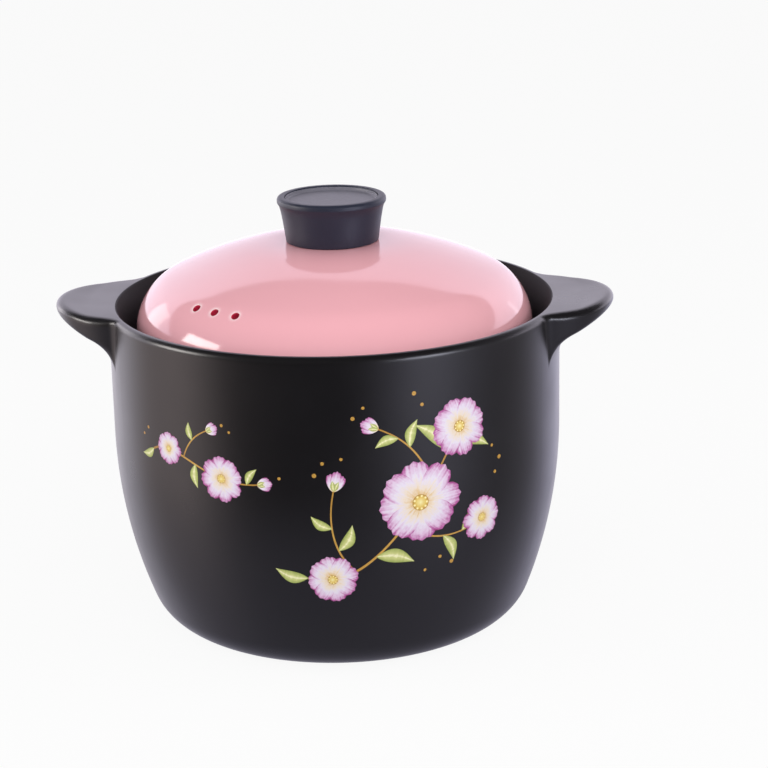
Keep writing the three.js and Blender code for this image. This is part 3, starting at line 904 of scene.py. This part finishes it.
RING_STEPS, KNURL_STEPS, SCREW_STEPS = 96, 144, 48      # columns round each kind of piece
KNURL_ROWS, THREAD_ROWS = 40, 190
INSERT_EDGE = 0.3 * MM          # slanted edge at the insert's ends
TEETH, TOOTH_DEPTH = 24, 0.25 * MM
TOOTH_START, TOOTH_RISE = 2 * MM, 0.6 * MM      # from the insert's ends
GROOVE_PLACE, GROOVE_WIDTH, GROOVE_DEPTH = 1.2 * MM, 1.6 * MM, 0.4 * MM
KNURL_LIMIT = 0.6 * MM          # deepest cut in the insert
THREAD_DEPTH, THREAD_START = 0.5 * MM, 3 * MM   # the thread starts this far above the head
SCREW_EDGE, SCREW_TAPER = 0.4 * MM, 0.6 * MM    # slanted edge at the screw's tip
SLOT_SIZE, SLOT_TAPER = (6.4 * MM, 1.3 * MM, 3.6 * MM, 1), 0.72


def ring_profile(inner, low, high, rounding):
    """Closed profile of a flat ring with rounded edges."""
    middle = 0.5 * (inner + high.x)
    return rounded([
        (middle, low.z), (high.x, low.z, rounding), (high.x, high.z, rounding),
        (inner, high.z, rounding), (inner, low.z, rounding), (middle, low.z)])[:-1]


def knurled_columns(inner, low, high):
    """The insert: a sleeve with fine teeth round its middle and a groove near each end."""
    columns = []
    for a in span(0, math.tau, KNURL_STEPS):
        tooth = TOOTH_DEPTH * (0.5 + 0.5 * math.cos(TEETH * a))
        line = [
            (inner, low.z + INSERT_EDGE), (inner + INSERT_EDGE, low.z),
            (high.x - INSERT_EDGE, low.z)]
        for z in span(low.z, high.z, KNURL_ROWS):
            end = min(z - low.z, high.z - z)
            groove = GROOVE_DEPTH * ease(1 - abs(end - GROOVE_PLACE) * 2 / GROOVE_WIDTH)
            cut = tooth * ease((end - TOOTH_START) / TOOTH_RISE) + max(INSERT_EDGE - end, 0)
            line.append((high.x - min(cut + groove, KNURL_LIMIT), z))
        line += [(inner + INSERT_EDGE, high.z), (inner, high.z - INSERT_EDGE)]
        columns.append([polar(r, a, z) for r, z in line])
    return columns


def screw_columns(s, low, high):
    """The screw, head down: a rounded head and a thread that fades out at both ends."""
    head = high.x
    head_top = WASHER_LOW.z - s.gap
    start = head_top + THREAD_START
    head_line = rounded([
        (0, low.z), (0.5 * head, low.z), (head, low.z, 2 * MM), (head, head_top, 0.2 * MM),
        (s.shank, head_top), (s.shank, start)])
    columns = []
    for a in span(0, math.tau, SCREW_STEPS):
        line = list(head_line)
        for z in span(start, high.z - SCREW_EDGE, THREAD_ROWS):
            phase = (z / s.pitch - a / math.tau) % 1
            groove = THREAD_DEPTH * (1 - abs(2 * phase - 1))
            fade = ease((z - start) / s.pitch) * ease((high.z - z) / s.pitch)
            line.append((s.shank - groove * fade, z))
        line += [(s.shank - SCREW_TAPER, high.z), (0, high.z)]
        columns.append([polar(r, a, z) for r, z in line])
    return columns


def cut_cross_slot(mesh, low):
    """Cuts the screw's cross slot and gives back the new mesh."""
    cutter = bmesh.new()
    for turn in (0, math.pi / 2):
        place = Matrix.Translation((0, 0, low.z)) @ Matrix.Rotation(turn, 4, "Z")
        made = bmesh.ops.create_cube(
            cutter, size=1, matrix=place @ Matrix.Diagonal(SLOT_SIZE))
        for vert in made["verts"]:
            if vert.co.z > low.z:
                vert.co.xy *= SLOT_TAPER
    tool_mesh = bpy.data.meshes.new("slot_cutter")
    cutter.to_mesh(tool_mesh)
    cutter.free()
    tool = bpy.data.objects.new("slot_cutter", tool_mesh)
    blank = bpy.data.objects.new("screw_blank", mesh)
    for piece in (tool, blank):
        bpy.context.scene.collection.objects.link(piece)
    cut = blank.modifiers.new("slot", "BOOLEAN")
    cut.object = tool
    cut.solver = "EXACT"
    cut.use_self = True
    graph = bpy.context.evaluated_depsgraph_get()
    slotted = bpy.data.meshes.new_from_object(blank.evaluated_get(graph))
    for piece in (tool, blank):
        bpy.data.objects.remove(piece)
    bpy.data.meshes.remove(tool_mesh)
    slotted.name = "screw_threaded"
    return slotted


class STOCKPOT_OT_fixings(bpy.types.Operator):
    """Build the insert, gasket, washers and screw that hold the knob"""

    bl_idname = "stockpot.fixings"
    bl_label = "Knob fixings"

    def execute(self, context):
        s = sizes(context, "knob")
        through = s.shank + s.gap
        brass = turned_metal("turned brass", "#A98840", "#C9A75A", 0.3)
        steel = turned_metal("tumbled stainless steel", "#9FA3A8", "#C3C6CA", 0.28)
        insert = skin(knurled_columns(through, INSERT_LOW, INSERT_HIGH), True)
        new_piece(
            "insert_knurled", finished_mesh(insert, "insert"), "knob", "insert_brass", [brass],
            "knob_insert")
        rings = (
            ("gasket_ring", GASKET_LOW, GASKET_HIGH, 0.5 * MM, "gasket_silicone",
             moulded_silicone("black moulded silicone", "#232224", "#323034"), "knob_gasket"),
            ("cushion_washer", CUSHION_LOW, CUSHION_HIGH, 0.7 * MM, "washer_silicone",
             moulded_silicone("milky moulded silicone", "#CFCAC2", "#E2DED8"), "silicone_washer"),
            ("flat_washer", WASHER_LOW, WASHER_HIGH, 0.25 * MM, "fixing_steel",
             steel, "steel_washer"))
        for name, low, high, rounding, slot, material, node in rings:
            profile = ring_profile(through, low, high, rounding)
            mesh = finished_mesh(turned(profile, RING_STEPS, True), name)
            new_piece(name, mesh, "knob", slot, [material], node)
        blank = finished_mesh(skin(screw_columns(s, SCREW_LOW, SCREW_HIGH)), "screw_blank")
        screw = cut_cross_slot(blank, SCREW_LOW)
        new_piece("screw_threaded", screw, "knob", "fixing_steel", [steel], "lid_screw")
        return {"FINISHED"}


# Printed flowers on the front

MAIN_SPRAY = {      # millimetres from the spot; leaves, flowers and buds stand on a stem's curve
    "spot": (38, 98),
    "stems": [
        ((-48, -40), (-20, -48), (4, -14), (30, 32), 1.5, 0.8),
        ((-23.7, -36.7), (-34, -28), (-38, -12), (-34, 6), 1.0, 0.7),
        ((-0.6, -15.5), (14, -24), (28, -26), (44, -18), 1.0, 0.7),
        ((14.6, 6.1), (10, 20), (2, 30), (-12, 36), 1.0, 0.7)],
    "leaves": [
        (0, 0.0, 180, 17, 6.5, 2), (0, 0.43, -55, 20, 7.5, 2), (1, 0.35, -50, 15, 6, -2),
        (1, 0.62, 50, 12, 5, 1.5), (2, 0.5, -60, 16, 6, 2), (2, 0.74, 55, 12, 5, -1.5),
        (0, 0.92, 80, 23, 7.5, -2), (0, 0.96, -80, 22, 7, 2), (3, 0.55, -60, 14, 5.5, 1.5),
        (3, 0.74, 55, 12, 5, -1.5)],
    "flowers": [(0, 0.72, 21, 0.1), (0, 1.0, 15, 0.3), (2, 1.0, 11.5, 0.0), (0, 0.15, 13, 0.2)],
    "buds": [(1, 10), (3, 9)],
    "dots": [
        (-43, 14, 1.1), (-39, 20, 0.9), (-30, 22, 0.8), (-24, 42, 1.0), (-19, 47, 0.8),
        (52, 4, 0.9), (55, 11, 1.1), (50, 18, 0.8), (20, -34, 0.9), (27, -38, 1.1),
        (12, -40, 0.8), (10, 46, 0.9), (6, 52, 1.1)],
}
SIDE_SPRIG = {
    "spot": (-63, 112),
    "stems": [
        ((-34, 2), (-16, 12), (2, -10), (30, -6), 1.1, 0.7),
        ((-11.7, 2.35), (-9, 10), (-4, 15), (3, 18), 0.8, 0.6)],
    "leaves": [
        (0, 0.0, 175, 11, 4.4, 1.5), (0, 0.52, -65, 12, 4.8, -1.5), (1, 0.5, 55, 9, 3.8, 1),
        (0, 0.93, 55, 10, 4, 1.2)],
    "flowers": [(0, 0.75, 11.5, 0.15), (0, 0.22, 8.5, 0.0)],
    "buds": [(0, 7.5), (1, 7)],
    "dots": [(-38, 12, 0.8), (-42, 8, 0.7), (12, 22, 0.8), (16, 19, 0.7), (41, -2, 0.8)],
}
PETALS, POLLEN_DOTS = 8, 9
HEART_SHARE = 0.2               # radius of a flower's heart, next to the flower's
POLLEN_PLACE, POLLEN_SHARE = 0.78, 0.15     # shares of the heart's radius
STEM_LIFT, LEAF_LIFT, PETAL_LIFT, HEART_LIFT = 0.04 * MM, 0.06 * MM, 0.08 * MM, 0.15 * MM
LIFT_STEP = 0.012 * MM


def wall_spot(s, across, height, lift):
    """A point on the front, so far round the wall from its middle and lifted off the glaze."""
    radius = wall_radius(s, height) + lift
    angle = across / s.radius
    return Vector((radius * math.sin(angle), -radius * math.cos(angle), height))


class PrintLayer:
    """One colour of the print: thin closed shapes on the pot's wall."""

    def __init__(self, s):
        self.s = s
        self.bm = bmesh.new()
        self.uv = self.bm.loops.layers.uv.new("shape")

    def add(self, shape, spot, turn, lift, columns, rows):
        """Adds a shape: shape(u, v) is a place in millimetres, turned and moved to its spot."""
        c, n = math.cos(turn), math.sin(turn)
        levels = []
        places = {}
        for level in (lift, -PRINT_ROOT):
            grid = []
            for j in range(rows + 1):
                row = []
                for i in range(columns + 1):
                    x, y, u, v = shape(i / columns, j / rows)
                    place = wall_spot(
                        self.s, (spot[0] + x * c - y * n) * MM,
                        (spot[1] + x * n + y * c) * MM, level)
                    vert = self.bm.verts.new(place)
                    places[vert] = (u, v)
                    row.append(vert)
                grid.append(row)
            levels.append(grid)
        top, root = levels
        for j in range(rows):
            for i in range(columns):
                for grid in levels:
                    self.face(
                        (grid[j][i], grid[j][i + 1], grid[j + 1][i + 1], grid[j + 1][i]), places)
        border = (
            [(0, i) for i in range(columns)] + [(j, columns) for j in range(rows)]
            + [(rows, i) for i in range(columns, 0, -1)] + [(j, 0) for j in range(rows, 0, -1)])
        for (j, i), (l, k) in zip(border, border[1:] + border[:1]):
            self.face((root[j][i], root[l][k], top[l][k], top[j][i]), places)

    def face(self, verts, places):
        """Adds a face with its coordinates in the shape."""
        made = self.bm.faces.new(verts)
        for loop in made.loops:
            loop[self.uv].uv = places[loop.vert]

    def finish(self, name, material):
        """Turns the layer into a piece on the pot."""
        new_piece(name, finished_mesh(self.bm, name), "pot", None, [material])


def petal(reach, width, root, place):
    """A broad petal with a toothed tip; its place in the flower shifts its streaks and tone."""
    def shape(u, v):
        side = 2 * u - 1
        tip = 1 - 0.15 * side ** 2 + 0.03 * math.cos(3 * math.pi * side)
        half = 0.5 * width * (0.2 + 0.8 * math.sin(0.62 * math.pi * v ** 0.8))
        tone = 0.78 * v + 0.22 * side ** 4 * min(2 * v, 1) + 0.04 * math.sin(7 * place)
        return root + (reach - root) * v * tip, side * half, place + u, tone
    return shape


def leaf(reach, width, bend):
    """A leaf with two points and a bent middle line."""
    def shape(u, v):
        half = 0.5 * width * max(math.sin(math.pi * v ** 0.85), 0.03)
        return reach * v, (2 * u - 1) * half + bend * math.sin(math.pi * v), v, abs(2 * u - 1)
    return shape


def along(points, share):
    """Place and direction at a share of the way along a curve with four control points."""
    ends = [Vector(p) for p in points]
    rest = 1 - share
    place = (
        ends[0] * rest ** 3 + ends[1] * 3 * share * rest ** 2
        + ends[2] * 3 * share ** 2 * rest + ends[3] * share ** 3)
    run = (
        (ends[1] - ends[0]) * rest ** 2 + (ends[2] - ends[1]) * 2 * share * rest
        + (ends[3] - ends[2]) * share ** 2)
    return place, run.normalized()


def stem(points, start_width, end_width):
    """A stem along a curve, thinner towards its end."""
    def shape(u, v):
        place, run = along(points, v)
        off = (u - 0.5) * (start_width + (end_width - start_width) * v)
        return place.x - run.y * off, place.y + run.x * off, u, v
    return shape


def disc(radius):
    """A round spot, from a square grid drawn out to a circle."""
    def shape(u, v):
        a, b = 2 * u - 1, 2 * v - 1
        if a == 0 and b == 0:
            r, turn = 0.0, 0.0
        elif abs(a) > abs(b):
            r, turn = a, math.pi / 4 * b / a
        else:
            r, turn = b, math.pi / 2 - math.pi / 4 * a / b
        return radius * r * math.cos(turn), radius * r * math.sin(turn), u, abs(r)
    return shape


def add_flower(layers, spot, radius, turn):
    """A flower: broad petals, each a little different, round a heart with pollen dots."""
    for i in range(PETALS):
        vary = math.sin(12.9 * i + 7 * radius)
        angle = turn + math.tau * i / PETALS + 0.06 * math.cos(5.3 * i + radius)
        shape = petal(
            radius * (1 + 0.05 * vary), radius * (0.68 - 0.05 * vary), 0.1 * radius, i + radius)
        layers["petals"].add(shape, spot, angle, PETAL_LIFT + LIFT_STEP * (i % 2), 12, 10)
    heart = HEART_SHARE * radius
    layers["hearts"].add(disc(heart), spot, 0, HEART_LIFT, 10, 10)
    for i in range(POLLEN_DOTS):
        angle = math.tau * i / POLLEN_DOTS
        out = POLLEN_PLACE * heart
        place = (spot[0] + out * math.cos(angle), spot[1] + out * math.sin(angle))
        layers["pollen"].add(
            disc(POLLEN_SHARE * heart), place, 0, HEART_LIFT + LIFT_STEP, 4, 4)


def add_bud(layers, spot, size, turn):
    """A closed bud: three petals in a green cup."""
    for i, angle in enumerate((-0.36, 0.36, 0)):
        layers["petals"].add(
            petal(size * (1 - 0.12 * (i < 2)), 0.5 * size, 0, i + size), spot, turn + angle,
            PETAL_LIFT + LIFT_STEP * i, 12, 10)
    for i, angle in enumerate((-0.3, 0.3)):
        layers["leaves"].add(
            leaf(0.55 * size, 0.24 * size, 0), spot, turn + angle,
            PETAL_LIFT + LIFT_STEP * (3 + i), 4, 10)


def add_spray(layers, spray):
    """Adds all of a spray's shapes."""
    origin = Vector(spray["spot"])
    curves = [points for *points, _, _ in spray["stems"]]
    for *points, start_width, end_width in spray["stems"]:
        layers["gold"].add(stem(points, start_width, end_width), origin, 0, STEM_LIFT, 2, 40)
    for index, share, turn, reach, width, bend in spray["leaves"]:
        place, run = along(curves[index], share)
        layers["leaves"].add(
            leaf(reach, width, bend), origin + place, math.atan2(run.y, run.x) + math.radians(turn),
            LEAF_LIFT, 6, 16)
    for index, share, radius, turn in spray["flowers"]:
        add_flower(layers, origin + along(curves[index], share)[0], radius, turn)
    for index, size in spray["buds"]:
        place, run = along(curves[index], 1)
        add_bud(layers, origin + place, size, math.atan2(run.y, run.x))
    for x, y, radius in spray["dots"]:
        layers["gold"].add(disc(radius), origin + Vector((x, y)), 0, STEM_LIFT, 6, 6)


class STOCKPOT_OT_print(bpy.types.Operator):
    """Build the flowers printed on the front of the pot"""

    bl_idname = "stockpot.print"
    bl_label = "Printed flowers"

    def execute(self, context):
        s = sizes(context, "pot")
        layers = {name: PrintLayer(s) for name in ("gold", "leaves", "petals", "hearts", "pollen")}
        for spray in (MAIN_SPRAY, SIDE_SPRIG):
            add_spray(layers, spray)
        inks = {
            "gold": ([(0.0, "#A5762B"), (0.5, "#C79A45"), (1.0, "#B08236")], 0.5, 0.3),
            "leaves": ([(0.0, "#EFEBC2"), (0.25, "#CDCF86"), (1.0, "#98A650")], 0.5, 0.34),
            "petals": (
                [(0.0, "#E0BA78"), (0.22, "#ECDCCB"), (0.45, "#E6DDEC"), (0.64, "#DDBEDB"),
                 (0.82, "#B95FA2"), (1.0, "#8E2A6B")], 0.32, 0.34),
            "hearts": ([(0.0, "#F4E7A8"), (0.6, "#E3C25E"), (1.0, "#B98A34")], 0.3, 0.36),
            "pollen": ([(0.0, "#FFF6CF"), (1.0, "#F1DB8C")], 0.2, 0.36),
        }
        for name, layer in layers.items():
            stops, streak, roughness = inks[name]
            layer.finish("print_" + name, printed_enamel(
                "fired ceramic ink, " + name, stops, streak, roughness))
        return {"FINISHED"}


# Studio

CAMERA_PLACE = (0.064779, -1.080792, 0.450339)
CAMERA_BEARING, CAMERA_PITCH, CAMERA_ROLL = (math.radians(a) for a in (2.113, 73.103, -1.226))
CAMERA_LENS, CAMERA_SENSOR = 100.98, 36     # millimetres
TABLE_HALF = 6                  # half the width of the table top, in metres
TABLE_WHITE = 0.92              # share of plain white in the table top where it is seen
PAINT, WHITE = shaded(linear("#F4F4F4")), shaded(linear("#FFFFFF"))
# Name, bearing in degrees from the front, distance, lower and upper edge, width, brightness,
# tint, and whether the glaze mirrors it
SOFTBOXES = (
    ("front_softbox", 5, 1.0, 0.45, 0.95, 1.0, 3.6, "#FFFFFF", False),
    ("left_fill", -75, 1.0, 0.5, 1.0, 0.8, 2.7, "#FFFFFF", False),
    ("right_fill", 75, 1.0, 0.5, 1.0, 0.8, 2.7, "#FFFFFF", False),
    ("left_back_softbox", -125, 1.2, 0.0, 0.63, 0.34, 2.1, "#FFFAF6", True),
    ("left_softbox", -79, 1.2, 0.27, 0.66, 0.55, 12.0, "#FFF9F5", True),
    ("right_back_softbox", 133, 1.2, 0.2, 0.5, 0.06, 1.4, "#F6F7FF", True),
    ("right_front_softbox", 47, 1.2, 0.06, 0.42, 0.5, 9.0, "#EDEFFF", True))

# The surround is drawn over directions: sideways, and from -1 straight down to 1 straight up
BACKDROP_RISE = 1.18            # height of the white backdrop over its distance
BACKDROP_SAG = 0.18             # how far its edge falls towards the sides
SAG_START, SAG_END = 0.03, 0.36
BACKDROP_BLUR = 0.015           # half the width of its soft edge
BACKDROP_SIDES = 1.5            # brightness at the sides, next to that of the middle
SIDES_START, SIDES_END = 0.22, 0.6
BACKDROP_LEVEL, ROOM_LEVEL, TABLE_LEVEL = 1.42, 0.08, 0.38
TABLE_START, TABLE_END = -0.25, -0.65       # the table's even light rises downward
HORIZON_LOW, HORIZON_HIGH = -0.15, 0.02     # the table gives way to the backdrop
FILL_LEVEL, FILL_WAY = 0.6, (0, -0.2, -0.25)
WARM, PLAIN, COOL = (1.1, 0.93, 0.92), (1.0, 0.95, 1.06), (0.96, 0.93, 1.18)
SHADE = (1.0, 0.94, 1.1)        # tint of the backdrop
TABLE_GLOW = [                  # bearing from the front, brightness and tint low round the pot
    (-180, 1.4, PLAIN), (-130, 1.6, PLAIN), (-106, 1.02, WARM), (-79, 1.75, WARM),
    (-45, 0.14, WARM), (-15, 0.03, PLAIN), (12, 0.07, PLAIN), (50, 0.96, COOL), (92, 0.27, PLAIN),
    (112, 0.38, PLAIN), (145, 1.45, COOL), (180, 1.4, PLAIN)]
GLOW_TOP, GLOW_FALL = -0.28, 2.8            # where the glow is full, and how fast it falls below
STUDIO_GAIN = 2.0               # a ramp's colours end at 1, so the studio is drawn this much darker


def add_camera(scene):
    """A camera at the photograph's place, turned so that the pot falls in its frame."""
    camera = bpy.data.objects.new("camera", bpy.data.cameras.new("camera"))
    camera.data.sensor_width = CAMERA_SENSOR
    camera.data.lens = CAMERA_LENS
    camera.matrix_world = (
        Matrix.Translation(CAMERA_PLACE) @ Matrix.Rotation(CAMERA_BEARING, 4, "Z")
        @ Matrix.Rotation(CAMERA_PITCH, 4, "X") @ Matrix.Rotation(CAMERA_ROLL, 4, "Z"))
    scene.collection.objects.link(camera)
    scene.camera = camera


def add_softbox(scene, name, bearing, distance, low, high, width, brightness, tint, mirrored):
    """An upright softbox that faces the pot; a brightness of 1 looks white.

    A mirrored one draws a highlight on the glaze, and any other only lights what is matt.
    """
    a = math.radians(bearing)
    light = bpy.data.lights.new(name, "AREA")
    light.shape = "RECTANGLE"
    light.size = width
    light.size_y = high - low
    light.energy = brightness * math.pi * width * (high - low)
    light.color = linear(tint)
    box = bpy.data.objects.new(name, light)
    box.location = (math.sin(a) * distance, -math.cos(a) * distance, (low + high) / 2)
    box.rotation_euler = (math.pi / 2, 0, a)
    box.visible_camera = False
    box.visible_glossy = mirrored
    box.visible_diffuse = not mirrored
    scene.collection.objects.link(box)


def add_floor(scene):
    """A pale table top, white where it is seen, that keeps the pot's shadow.

    It is clear from below, so that the pot's foot can be looked at. Reflections look past it,
    at the surround's lower half.
    """
    h = TABLE_HALF
    mesh = bpy.data.meshes.new("table_top")
    mesh.from_pydata([(-h, -h, 0), (h, -h, 0), (h, h, 0), (-h, h, 0)], [], [(0, 1, 2, 3)])
    table = bpy.data.objects.new("table_top", mesh)
    scene.collection.objects.link(table)
    material = bpy.data.materials.new("pale table top")
    material.use_nodes = True
    tree = material.node_tree
    tree.nodes.clear()
    path = add_node(tree, "ShaderNodeLightPath", {})
    mirrored = add_node(tree, "ShaderNodeMath", {
        "operation": "MAXIMUM", 0: path.outputs["Is Glossy Ray"],
        1: path.outputs["Is Transmission Ray"]})
    seen = add_node(tree, "ShaderNodeMath", {
        "operation": "MAXIMUM", 0: path.outputs["Is Camera Ray"], 1: mirrored})
    share = add_node(tree, "ShaderNodeMath", {"operation": "MULTIPLY", 0: seen, 1: TABLE_WHITE})
    paint = add_node(tree, "ShaderNodeBsdfDiffuse", {"Color": PAINT})
    white = add_node(tree, "ShaderNodeEmission", {"Color": WHITE, "Strength": 1.0})
    mix = add_node(tree, "ShaderNodeMixShader", {0: share, 1: paint, 2: white})
    side = add_node(tree, "ShaderNodeNewGeometry", {})
    clear = add_node(tree, "ShaderNodeBsdfTransparent", {"Color": WHITE})
    top = add_node(tree, "ShaderNodeMixShader", {0: side.outputs["Backfacing"], 1: mix, 2: clear})
    add_node(tree, "ShaderNodeOutputMaterial", {"Surface": top})
    mesh.materials.append(material)
    table.visible_glossy = False


def add_table_light(tree, axes):
    """The table as it mirrors: glow from the softboxes round the pot, and an even light below."""
    toward = add_node(
        tree, "ShaderNodeMath", {"operation": "MULTIPLY", 0: axes.outputs["Y"], 1: -1.0})
    bearing = add_node(tree, "ShaderNodeMath", {
        "operation": "ARCTAN2", 0: axes.outputs["X"], 1: toward})
    turn = add_node(tree, "ShaderNodeMapRange", {
        "Value": bearing, "From Min": -math.pi, "From Max": math.pi})
    stops = [
        (0.5 + a / 360, [level / STUDIO_GAIN * c for c in tint]) for a, level, tint in TABLE_GLOW]
    glow = add_node(tree, "ShaderNodeValToRGB", {"Fac": turn}, stops)
    glow.color_ramp.interpolation = "EASE"
    height = add_node(tree, "ShaderNodeMapRange", {
        "Value": axes.outputs["Z"], "From Min": -1.0, "From Max": GLOW_TOP})
    depth = add_node(tree, "ShaderNodeMath", {"operation": "POWER", 0: height, 1: GLOW_FALL})
    spread = add_node(tree, "ShaderNodeVectorMath", {
        "operation": "SCALE", 0: glow, "Scale": depth})
    table = add_node(tree, "ShaderNodeMapRange", {
        "interpolation_type": "SMOOTHSTEP", "Value": axes.outputs["Z"], "From Min": TABLE_START,
        "From Max": TABLE_END, "To Max": TABLE_LEVEL / STUDIO_GAIN})
    even = add_node(tree, "ShaderNodeVectorMath", {"operation": "SCALE", 0: COOL, "Scale": table})
    return add_node(tree, "ShaderNodeVectorMath", {"operation": "ADD", 0: spread, 1: even})


def add_backdrop(tree, axes, way):
    """The white backdrop: it ends in a soft edge overhead, which falls towards the sides."""
    aside = add_node(tree, "ShaderNodeMath", {"operation": "ABSOLUTE", 0: axes.outputs["X"]})
    sag = add_node(tree, "ShaderNodeMapRange", {
        "Value": aside, "From Min": SAG_START, "From Max": SAG_END, "To Max": BACKDROP_SAG})
    straight = add_node(tree, "ShaderNodeVectorMath", {
        "operation": "DOT_PRODUCT", 0: way, 1: (0, BACKDROP_RISE, -1)})
    inside = add_node(tree, "ShaderNodeMath", {"operation": "SUBTRACT", 0: straight, 1: sag})
    edge = add_node(tree, "ShaderNodeMapRange", {
        "Value": inside, "From Min": -BACKDROP_BLUR, "From Max": BACKDROP_BLUR,
        "To Min": ROOM_LEVEL / STUDIO_GAIN, "To Max": BACKDROP_LEVEL / STUDIO_GAIN})
    sides = add_node(tree, "ShaderNodeMapRange", {
        "Value": aside, "From Min": SIDES_START, "From Max": SIDES_END,
        "To Min": 1.0, "To Max": BACKDROP_SIDES})
    level = add_node(tree, "ShaderNodeMath", {"operation": "MULTIPLY", 0: edge, 1: sides})
    return add_node(tree, "ShaderNodeVectorMath", {"operation": "SCALE", 0: SHADE, "Scale": level})


def add_surround(scene):
    """The room: white to the camera, table and backdrop to reflections, else a soft fill."""
    world = bpy.data.worlds.new("studio")
    world.use_nodes = True
    tree = world.node_tree
    tree.nodes.clear()
    path = add_node(tree, "ShaderNodeLightPath", {})
    way = add_node(tree, "ShaderNodeTexCoord", {}).outputs["Generated"]
    axes = add_node(tree, "ShaderNodeSeparateXYZ", {"Vector": way})
    low = add_table_light(tree, axes)
    high = add_backdrop(tree, axes, way)
    rise = add_node(tree, "ShaderNodeMapRange", {
        "interpolation_type": "SMOOTHSTEP", "Value": axes.outputs["Z"], "From Min": HORIZON_LOW,
        "From Max": HORIZON_HIGH})
    mirrored = add_node(tree, "ShaderNodeMix", {
        "data_type": "RGBA", "Factor": rise, "A": low, "B": high})
    studio = add_node(tree, "ShaderNodeBackground", {"Color": mirrored, "Strength": STUDIO_GAIN})
    lean = add_node(
        tree, "ShaderNodeVectorMath", {"operation": "DOT_PRODUCT", 0: way, 1: FILL_WAY})
    soft = add_node(tree, "ShaderNodeMath", {"operation": "ADD", 0: lean, 1: FILL_LEVEL})
    fill = add_node(tree, "ShaderNodeBackground", {"Color": WHITE, "Strength": soft})
    white = add_node(tree, "ShaderNodeBackground", {"Color": WHITE, "Strength": 1.0})
    clear = add_node(tree, "ShaderNodeMath", {
        "operation": "MAXIMUM", 0: path.outputs["Is Glossy Ray"],
        1: path.outputs["Is Transmission Ray"]})
    reflected = add_node(tree, "ShaderNodeMixShader", {0: clear, 1: fill, 2: studio})
    mix = add_node(tree, "ShaderNodeMixShader", {
        0: path.outputs["Is Camera Ray"], 1: reflected, 2: white})
    add_node(tree, "ShaderNodeOutputWorld", {"Surface": mix})
    scene.world = world


class STOCKPOT_OT_stage(bpy.types.Operator):
    """Build the table, the studio lights and the camera"""

    bl_idname = "stockpot.stage"
    bl_label = "Studio"

    def execute(self, context):
        scene = context.scene
        add_floor(scene)
        add_surround(scene)
        for softbox in SOFTBOXES:
            add_softbox(scene, *softbox)
        add_camera(scene)
        scene.view_settings.view_transform = "Standard"
        return {"FINISHED"}


class STOCKPOT_PT_panel(bpy.types.Panel):
    """The stockpot's pieces and settings"""

    bl_idname = "STOCKPOT_PT_panel"
    bl_label = "Stockpot"
    bl_space_type = "VIEW_3D"
    bl_region_type = "UI"
    bl_category = "Stockpot"

    def draw(self, context):
        layout = self.layout
        for operator in OPERATORS:
            layout.operator(operator.bl_idname)
        for name, group in GROUPS.items():
            box = layout.box()
            box.label(text=group.__doc__)
            for key in group.__annotations__:
                box.prop(sizes(context, name), key)


GROUPS = {"pot": PotSizes, "lid": LidSizes, "knob": KnobSizes, "colours": Colours}
OPERATORS = (
    STOCKPOT_OT_pot, STOCKPOT_OT_print, STOCKPOT_OT_lid, STOCKPOT_OT_knob, STOCKPOT_OT_fixings,
    STOCKPOT_OT_stage)


def register():
    for name, group in GROUPS.items():
        bpy.utils.register_class(group)
        setattr(bpy.types.Scene, "stockpot_" + name, PointerProperty(type=group))
    for cls in (*OPERATORS, STOCKPOT_PT_panel):
        bpy.utils.register_class(cls)


def unregister():
    for cls in (STOCKPOT_PT_panel, *reversed(OPERATORS)):
        bpy.utils.unregister_class(cls)
    for name, group in GROUPS.items():
        delattr(bpy.types.Scene, "stockpot_" + name)
        bpy.utils.unregister_class(group)


def main():
    """Builds the stockpot piece by piece."""
    register()
    bpy.ops.stockpot.pot()
    bpy.ops.stockpot.print()
    bpy.ops.stockpot.lid()
    bpy.ops.stockpot.knob()
    bpy.ops.stockpot.fixings()
    bpy.ops.stockpot.stage()


if __name__ == "__main__":
    main()
